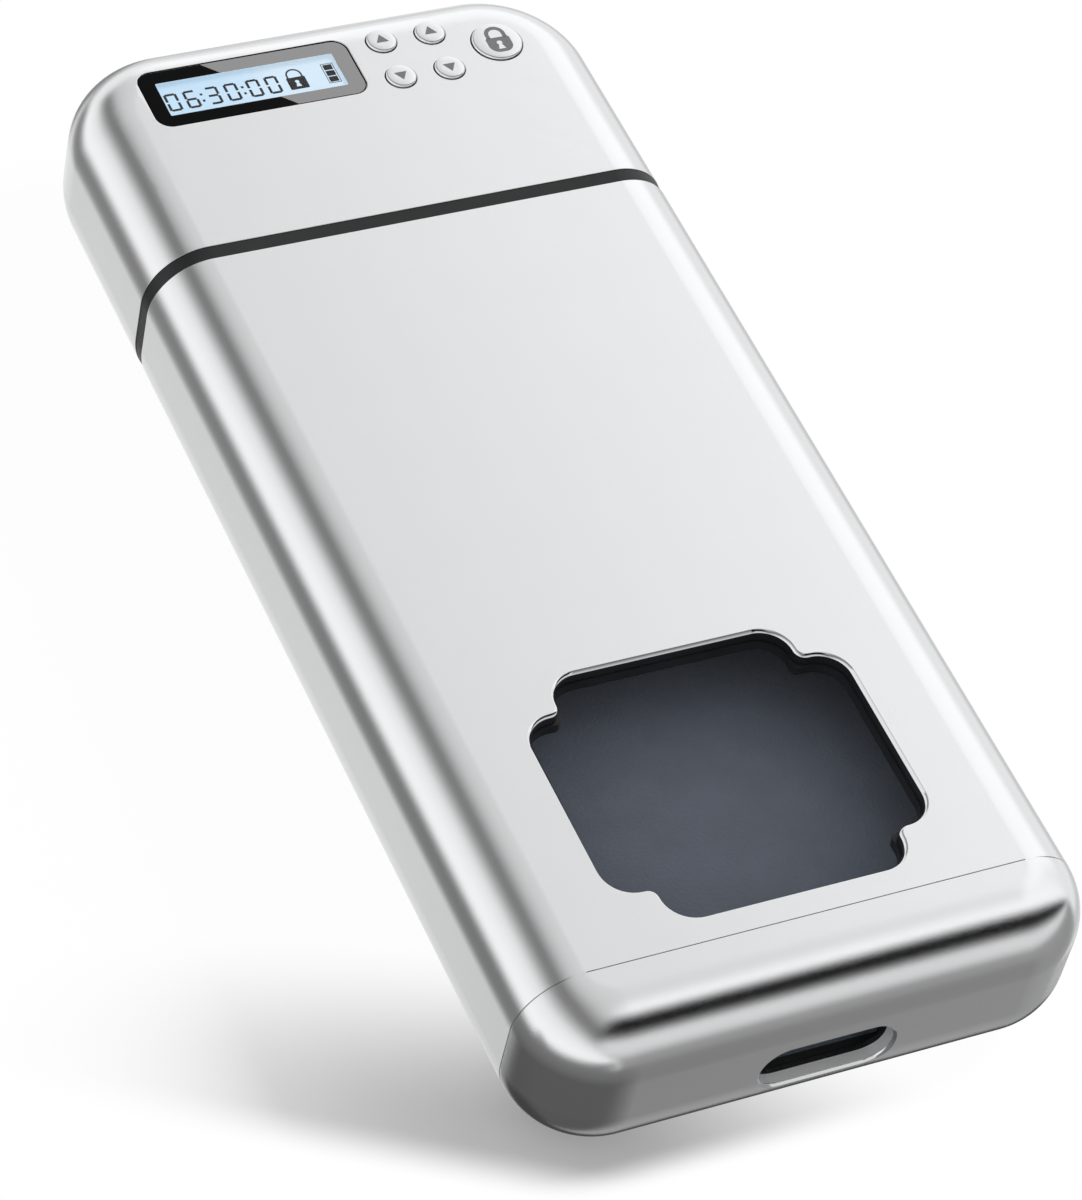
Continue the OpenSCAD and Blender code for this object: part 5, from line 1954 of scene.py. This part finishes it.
NODE_FINISHES: dict[str, Finish] = {
    "inner_liner": Finish.BAND,
    "lcd_frame": Finish.FRAME,
    "lcd_backlight": Finish.GUIDE,
    "lcd_connectors": Finish.RUBBER,
    "main_board": Finish.BOARD,
    "board_components": Finish.CHIP,
    "tact_switches": Finish.CHIP,
    "board_screws": Finish.SCREW,
    "bulkhead": Finish.FRAME,
    "drive_frame": Finish.FRAME,
    "frame_screws": Finish.SCREW,
    "gearbox": Finish.BRASS,
    "motor": Finish.NICKEL,
    "motor_screws": Finish.SCREW,
    "battery_cell": Finish.FOIL,
    "charge_board": Finish.BOARD,
    "charge_socket": Finish.NICKEL,
    "sounder": Finish.CHIP,
    "charge_board_screws": Finish.SCREW,
    "motor_shaft": Finish.BOLT,
    "pinion_gear": Finish.BRASS,
    "left_bolt": Finish.BOLT,
    "right_bolt": Finish.BOLT,
}


def dress_nodes() -> None:
    """Gives the CAD pieces that stay their finishes."""
    for name, finish in NODE_FINISHES.items():
        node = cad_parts[name]
        node.data.materials.clear()
        node.data.materials.append(finish.material())


# ---------------------------------------------------------------- studio


@dataclass
class Studio:
    """Camera, room, floor and lamps. A room's stops are pairs of angle in degrees and brightness."""

    camera_place: Vector = Vector((-285.79, -427.53, 562.49))
    camera_right: Vector = Vector((0.90342, -0.39695, 0.16207))
    camera_up: Vector = Vector((0.20286, 0.72874, 0.65405))
    focal_length: float = 147.0
    sensor: float = 36.0
    clip: Flat = (0.05, 20.0)
    floor_size: float = 4000.0
    left_room: tuple[Flat, ...] = (
        (-180, 0.85), (-160, 0.88), (-148, 0.62), (-136, 0.31), (-114, 0.25), (-104, 0.45), (-92, 1.10),
        (-84, 1.15), (-66, 1.05), (-55, 0.95), (-44, 0.58), (-33, 0.27), (-22, 0.21), (-12, 0.45),
        (-2, 0.66), (10, 0.76), (20, 0.78), (26.5, 0.855), (31.5, 1.15), (42, 1.20), (70, 1.26),
        (82, 0.95), (106, 1.0), (120, 0.62), (146, 0.95), (180, 0.85),
    )
    foot_room: tuple[Flat, ...] = (
        (-180, 0.41), (-146, 0.33), (-125, 0.34), (-100, 0.36), (-90, 0.36), (-76, 0.80), (-60, 0.85),
        (-50, 0.25), (-42, 0.0), (-28, 0.0), (-21, 0.5), (-13, 1.18), (0, 1.15), (20, 1.08), (32, 1.0),
        (180, 1.0),
    )
    room_light: float = 0.896
    foot_turn: Flat = (10, 35)
    dark_floor: Flat = (0.18, 0.10)
    dark_drop: Flat = (6, 20)
    dark_ends: tuple[Flat, Flat] = ((-50, -24), (144, 92))
    dark_depth: Flat = (20, 58)
    head_strip: Flat = (0.92, 0.40)
    strip_drop: Flat = (2, 12)
    strip_rise: Flat = (67, 79)
    corner_flag: tuple[Vector, Flat, float] = (Vector((0.12, 0.88, -0.46)), (17, 8), 0.264)
    under_light: float = 0.056
    under_foot: Flat = (-5, 7)
    under_head: Flat = (32, 20)
    under_drop: Flat = (45, 55)
    under_right: Flat = (-40, -20)
    soft_light: float = 0.8
    floor_z: float = -0.05
    floor_tone: float = 0.42
    floor_mottle: float = 0.005
    floor_grain: float = 8.0
    floor_lift: float = 0.17
    faint_shadow: float = 0.03
    full_shadow: float = 0.1
    shadow_place: tuple[Vector, float, Vector] = (
        Vector((-40, -98, 0)), 30.0, Vector((1 / 90, 1 / 34, 0)),
    )
    shadow_ends: tuple[tuple[Vector, float, float], ...] = (
        (Vector((-0.508, -0.861, 0)), 105.3, 113.5), (Vector((0, -1, 0)), 102.3, 108.5),
    )
    key_lamp: tuple[Vector, Vector, float, float] = (
        Vector((540, 40, 400)), Vector((-40, -60, 0)), 220.0, 11.0,
    )
    glare_lamp: tuple[Vector, float, float, float] = (Vector((159.0, 399.9, 330.0)), 60.0, 110.0, 0.78)
    glare_turn: float = 45.0

    def camera(self) -> None:
        """Makes the camera that looks from the photograph's place."""
        data = bpy.data.cameras.new("camera")
        data.lens, data.sensor_width = self.focal_length, self.sensor
        data.clip_start, data.clip_end = self.clip
        camera = bpy.data.objects.new("camera", data)
        bpy.context.scene.collection.objects.link(camera)
        back = self.camera_right.cross(self.camera_up)
        turn = Matrix((self.camera_right, self.camera_up, back)).transposed().to_4x4()
        camera.matrix_world = Matrix.Translation(self.camera_place * MM) @ turn
        bpy.context.scene.camera = camera

    def room_ramp(
        self, sheet: Sheet, angle: bpy.types.NodeSocket, stops: Sequence[Flat]
    ) -> bpy.types.NodeSocket:
        """The room's brightness round one axis.

        Args:
            sheet: the world's node sheet.
            angle: the direction's angle about the axis, in radians.
            stops: pairs of angle in degrees and brightness.

        Returns:
            The brightness.
        """
        share = sheet.maths("MULTIPLY_ADD", angle, 1 / math.tau, 0.5)
        node = sheet.add("ShaderNodeValToRGB", {"Fac": share})
        elements = node.color_ramp.elements
        while len(elements) < len(stops):
            elements.new(0.5)
        brightest = 2.0
        for element, (degrees, level) in zip(elements, stops):
            element.position = degrees / 360 + 0.5
            element.color = (level / brightest,) * 3 + (1,)
        return sheet.maths("MULTIPLY", node.outputs[0], self.room_light * brightest)

    def room(self, sheet: Sheet, place: bpy.types.NodeSocket) -> bpy.types.NodeSocket:
        """The room that reflections see: white, with dark flags on the left, at the foot and below.

        Args:
            sheet: the world's node sheet.
            place: the direction that is looked in.

        Returns:
            The room's brightness.
        """
        axes = sheet.add("ShaderNodeSeparateXYZ", {0: place}).outputs
        across = sheet.maths("ARCTAN2", axes["X"], axes["Z"])
        along = sheet.maths("ARCTAN2", axes["Y"], axes["Z"])
        sides = [self.room_ramp(sheet, across, self.left_room), self.room_ramp(sheet, along, self.foot_room)]
        room = sheet.mix(self.fade(sheet, sheet.maths("SUBTRACT", across, along), self.foot_turn), *sides)

        down = sheet.maths("ARCSINE", sheet.maths("MULTIPLY", axes["Z"], -1.0))
        away = [sheet.maths("MULTIPLY", axes[axis], -1.0) for axis in ("Y", "X")]
        round_about = sheet.maths("ARCTAN2", *away)
        dark = self.fade(sheet, down, self.dark_drop)
        for reach in self.dark_ends:
            dark = sheet.maths("MULTIPLY", dark, self.fade(sheet, round_about, reach))
        room = sheet.mix(dark, room, sheet.mix(self.fade(sheet, down, self.dark_depth), *self.dark_floor))

        right, rise = (sheet.maths("ARCSINE", axes[axis]) for axis in ("X", "Y"))
        strip = sheet.mix(self.fade(sheet, down, self.strip_drop), *self.head_strip)
        room = sheet.mix(self.fade(sheet, rise, self.strip_rise), room, strip)

        way, reach, level = self.corner_flag
        near = sheet.vectors("DOT_PRODUCT", place, way.normalized()).outputs["Value"]
        room = sheet.mix(self.fade(sheet, sheet.maths("ARCCOSINE", near), reach), room, level)

        under = self.fade(sheet, rise, self.under_foot)
        for angle, reach in ((rise, self.under_head), (down, self.under_drop), (right, self.under_right)):
            under = sheet.maths("MULTIPLY", under, self.fade(sheet, angle, reach))
        return sheet.mix(under, room, self.under_light)

    def world(self) -> None:
        """The room for reflections, an even light for matt surfaces, and white behind everything."""
        world = bpy.data.worlds.new("room")
        bpy.context.scene.world = world
        world.use_nodes = True
        sheet = Sheet(world.node_tree)
        room = self.room(sheet, sheet.add("ShaderNodeTexCoord").outputs["Generated"])
        ray = sheet.add("ShaderNodeLightPath").outputs
        plain = sheet.mix(ray["Is Diffuse Ray"], room, self.soft_light)
        through = sheet.maths("MAXIMUM", ray["Is Camera Ray"], ray["Is Transmission Ray"])
        seen = sheet.mix(through, plain, 1.0)
        light = sheet.add("ShaderNodeBackground", {"Color": (1, 1, 1, 1), "Strength": seen}).outputs[0]
        sheet.add("ShaderNodeOutputWorld", {0: light})

    def fade(self, sheet: Sheet, angle: bpy.types.NodeSocket, reach: Flat) -> bpy.types.NodeSocket:
        """A soft step from 0 to 1 between two angles.

        Args:
            sheet: the node sheet.
            angle: the angle in radians.
            reach: where the step is 0 and where it is 1, in degrees.

        Returns:
            The step's value.
        """
        low, high = sorted(reach)
        inputs = {"Value": angle, "From Min": math.radians(low), "From Max": math.radians(high)}
        inputs |= {"To Min": float(reach[0] > low), "To Max": float(reach[0] == low)}
        return sheet.add("ShaderNodeMapRange", inputs, interpolation_type="SMOOTHSTEP").outputs[0]

    def shadow(self, sheet: Sheet) -> bpy.types.NodeSocket:
        """Says where the floor keeps its shadow: in an oval near the foot, up to two straight ends.

        Args:
            sheet: the floor's node sheet.

        Returns:
            1 where the shadow is kept, down to 0 where the floor is plain.
        """
        place = sheet.add("ShaderNodeTexCoord").outputs["Object"]
        centre, turn, reach = self.shadow_place
        about = {0: sheet.vectors("SUBTRACT", place, centre * MM).outputs[0], "Angle": math.radians(turn)}
        turned = sheet.add("ShaderNodeVectorRotate", about, rotation_type="Z_AXIS").outputs[0]
        scaled = sheet.vectors("MULTIPLY", turned, reach / MM).outputs[0]
        steps = [(sheet.vectors("LENGTH", scaled), self.full_shadow, 1.0, self.faint_shadow)]
        for way, start, end in self.shadow_ends:
            steps.append((sheet.vectors("DOT_PRODUCT", place, way), start * MM, end * MM, 0.0))
        keep = None
        for node, start, end, least in steps:
            limits = {"Value": node.outputs["Value"], "From Min": start, "From Max": end}
            limits |= {"To Min": 1.0, "To Max": least}
            step = sheet.add("ShaderNodeMapRange", limits, interpolation_type="SMOOTHSTEP").outputs[0]
            keep = sheet.maths("MULTIPLY", keep, step) if keep else step
        return keep

    def floor(self) -> bpy.types.Object:
        """The pale floor, which keeps the soft shadow near the foot.

        Returns:
            The floor.
        """
        material, sheet = new_material("pale_floor")
        keep = self.shadow(sheet)
        ray = sheet.add("ShaderNodeLightPath").outputs["Is Camera Ray"]
        white = sheet.maths("MULTIPLY", ray, sheet.maths("SUBTRACT", 1.0, keep))
        tone, mottle = self.floor_tone, self.floor_mottle
        speck = sheet.spread(sheet.noise(self.floor_grain), tone - mottle, tone + mottle)
        diffuse = sheet.add("ShaderNodeBsdfDiffuse", {"Color": speck}).outputs[0]
        glow = sheet.maths("MULTIPLY", ray, self.floor_lift)
        lift = sheet.add("ShaderNodeEmission", {"Strength": glow}).outputs[0]
        lit = sheet.add("ShaderNodeAddShader", {0: diffuse, 1: lift}).outputs[0]
        plain = sheet.add("ShaderNodeEmission", {"Strength": 1.0}).outputs[0]
        sheet.surface(sheet.add("ShaderNodeMixShader", {0: white, 1: lit, 2: plain}).outputs[0])
        half = self.floor_size / 2
        plan = MeshPlan()
        corners = ((-half, -half), (half, -half), (half, half), (-half, half))
        plan.face([Vector((x, y, self.floor_z)) for x, y in corners])
        floor = plan.piece("floor", [material])
        floor.visible_glossy = False
        return floor

    def lamp(self, name: str, place: Vector, aim: Vector, size: float, power: float) -> bpy.types.Object:
        """Hangs a square lamp that lights without being reflected.

        Args:
            name: the lamp's name.
            place: where it hangs.
            aim: what it points at.
            size: the length of its sides.
            power: its power in watts.

        Returns:
            The lamp.
        """
        data = bpy.data.lights.new(name, "AREA")
        data.size, data.energy = size * MM, power
        lamp = bpy.data.objects.new(name, data)
        bpy.context.scene.collection.objects.link(lamp)
        turn = (aim - place).to_track_quat("-Z", "Y")
        lamp.matrix_world = Matrix.Translation(place * MM) @ turn.to_matrix().to_4x4()
        lamp.visible_glossy = False
        return lamp

    def glare(self, *pieces: bpy.types.Object) -> None:
        """Hangs a small lamp over the lens, whose straight edge shows in it.

        Args:
            pieces: the pieces that the lamp lights.
        """
        place, width, length, power = self.glare_lamp
        lamp = self.lamp("lens glare", place, place - Vector((0, 0, 1)), width, power)
        lamp.data.shape = "RECTANGLE"
        lamp.data.size_y = length * MM
        turn = Matrix.Rotation(math.radians(self.glare_turn), 4, "Z")
        lamp.matrix_world = Matrix.Translation(place * MM) @ turn
        lamp.visible_glossy = True
        lamp.visible_camera = False
        self.light_only(lamp, *pieces)

    def light_only(self, lamp: bpy.types.Object, *pieces: bpy.types.Object) -> None:
        """Lets a lamp light nothing but these pieces.

        Args:
            lamp: the lamp.
            pieces: the pieces that it lights.
        """
        lit = bpy.data.collections.new("lit by " + lamp.name)
        for piece in pieces:
            lit.objects.link(piece)
        lamp.light_linking.receiver_collection = lit

    def build(self) -> None:
        """Makes camera, room, floor and the main lamp."""
        self.camera()
        self.world()
        floor = self.floor()
        self.light_only(self.lamp("key", *self.key_lamp), floor)
        bpy.context.scene.view_settings.view_transform = "Standard"


def main() -> None:
    """Builds the studio and the container in order."""
    logging.basicConfig(level=logging.INFO, format="%(message)s")
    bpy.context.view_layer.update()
    body = Body.from_frame()
    studio = Studio()
    studio.build()
    Container(body).build()
    Foam(body).build()
    border = Head(body).build()
    studio.glare(border)
    for screws in SCREW_SETS:
        screws.build()
    dress_nodes()


if __name__ == "__main__":
    main()
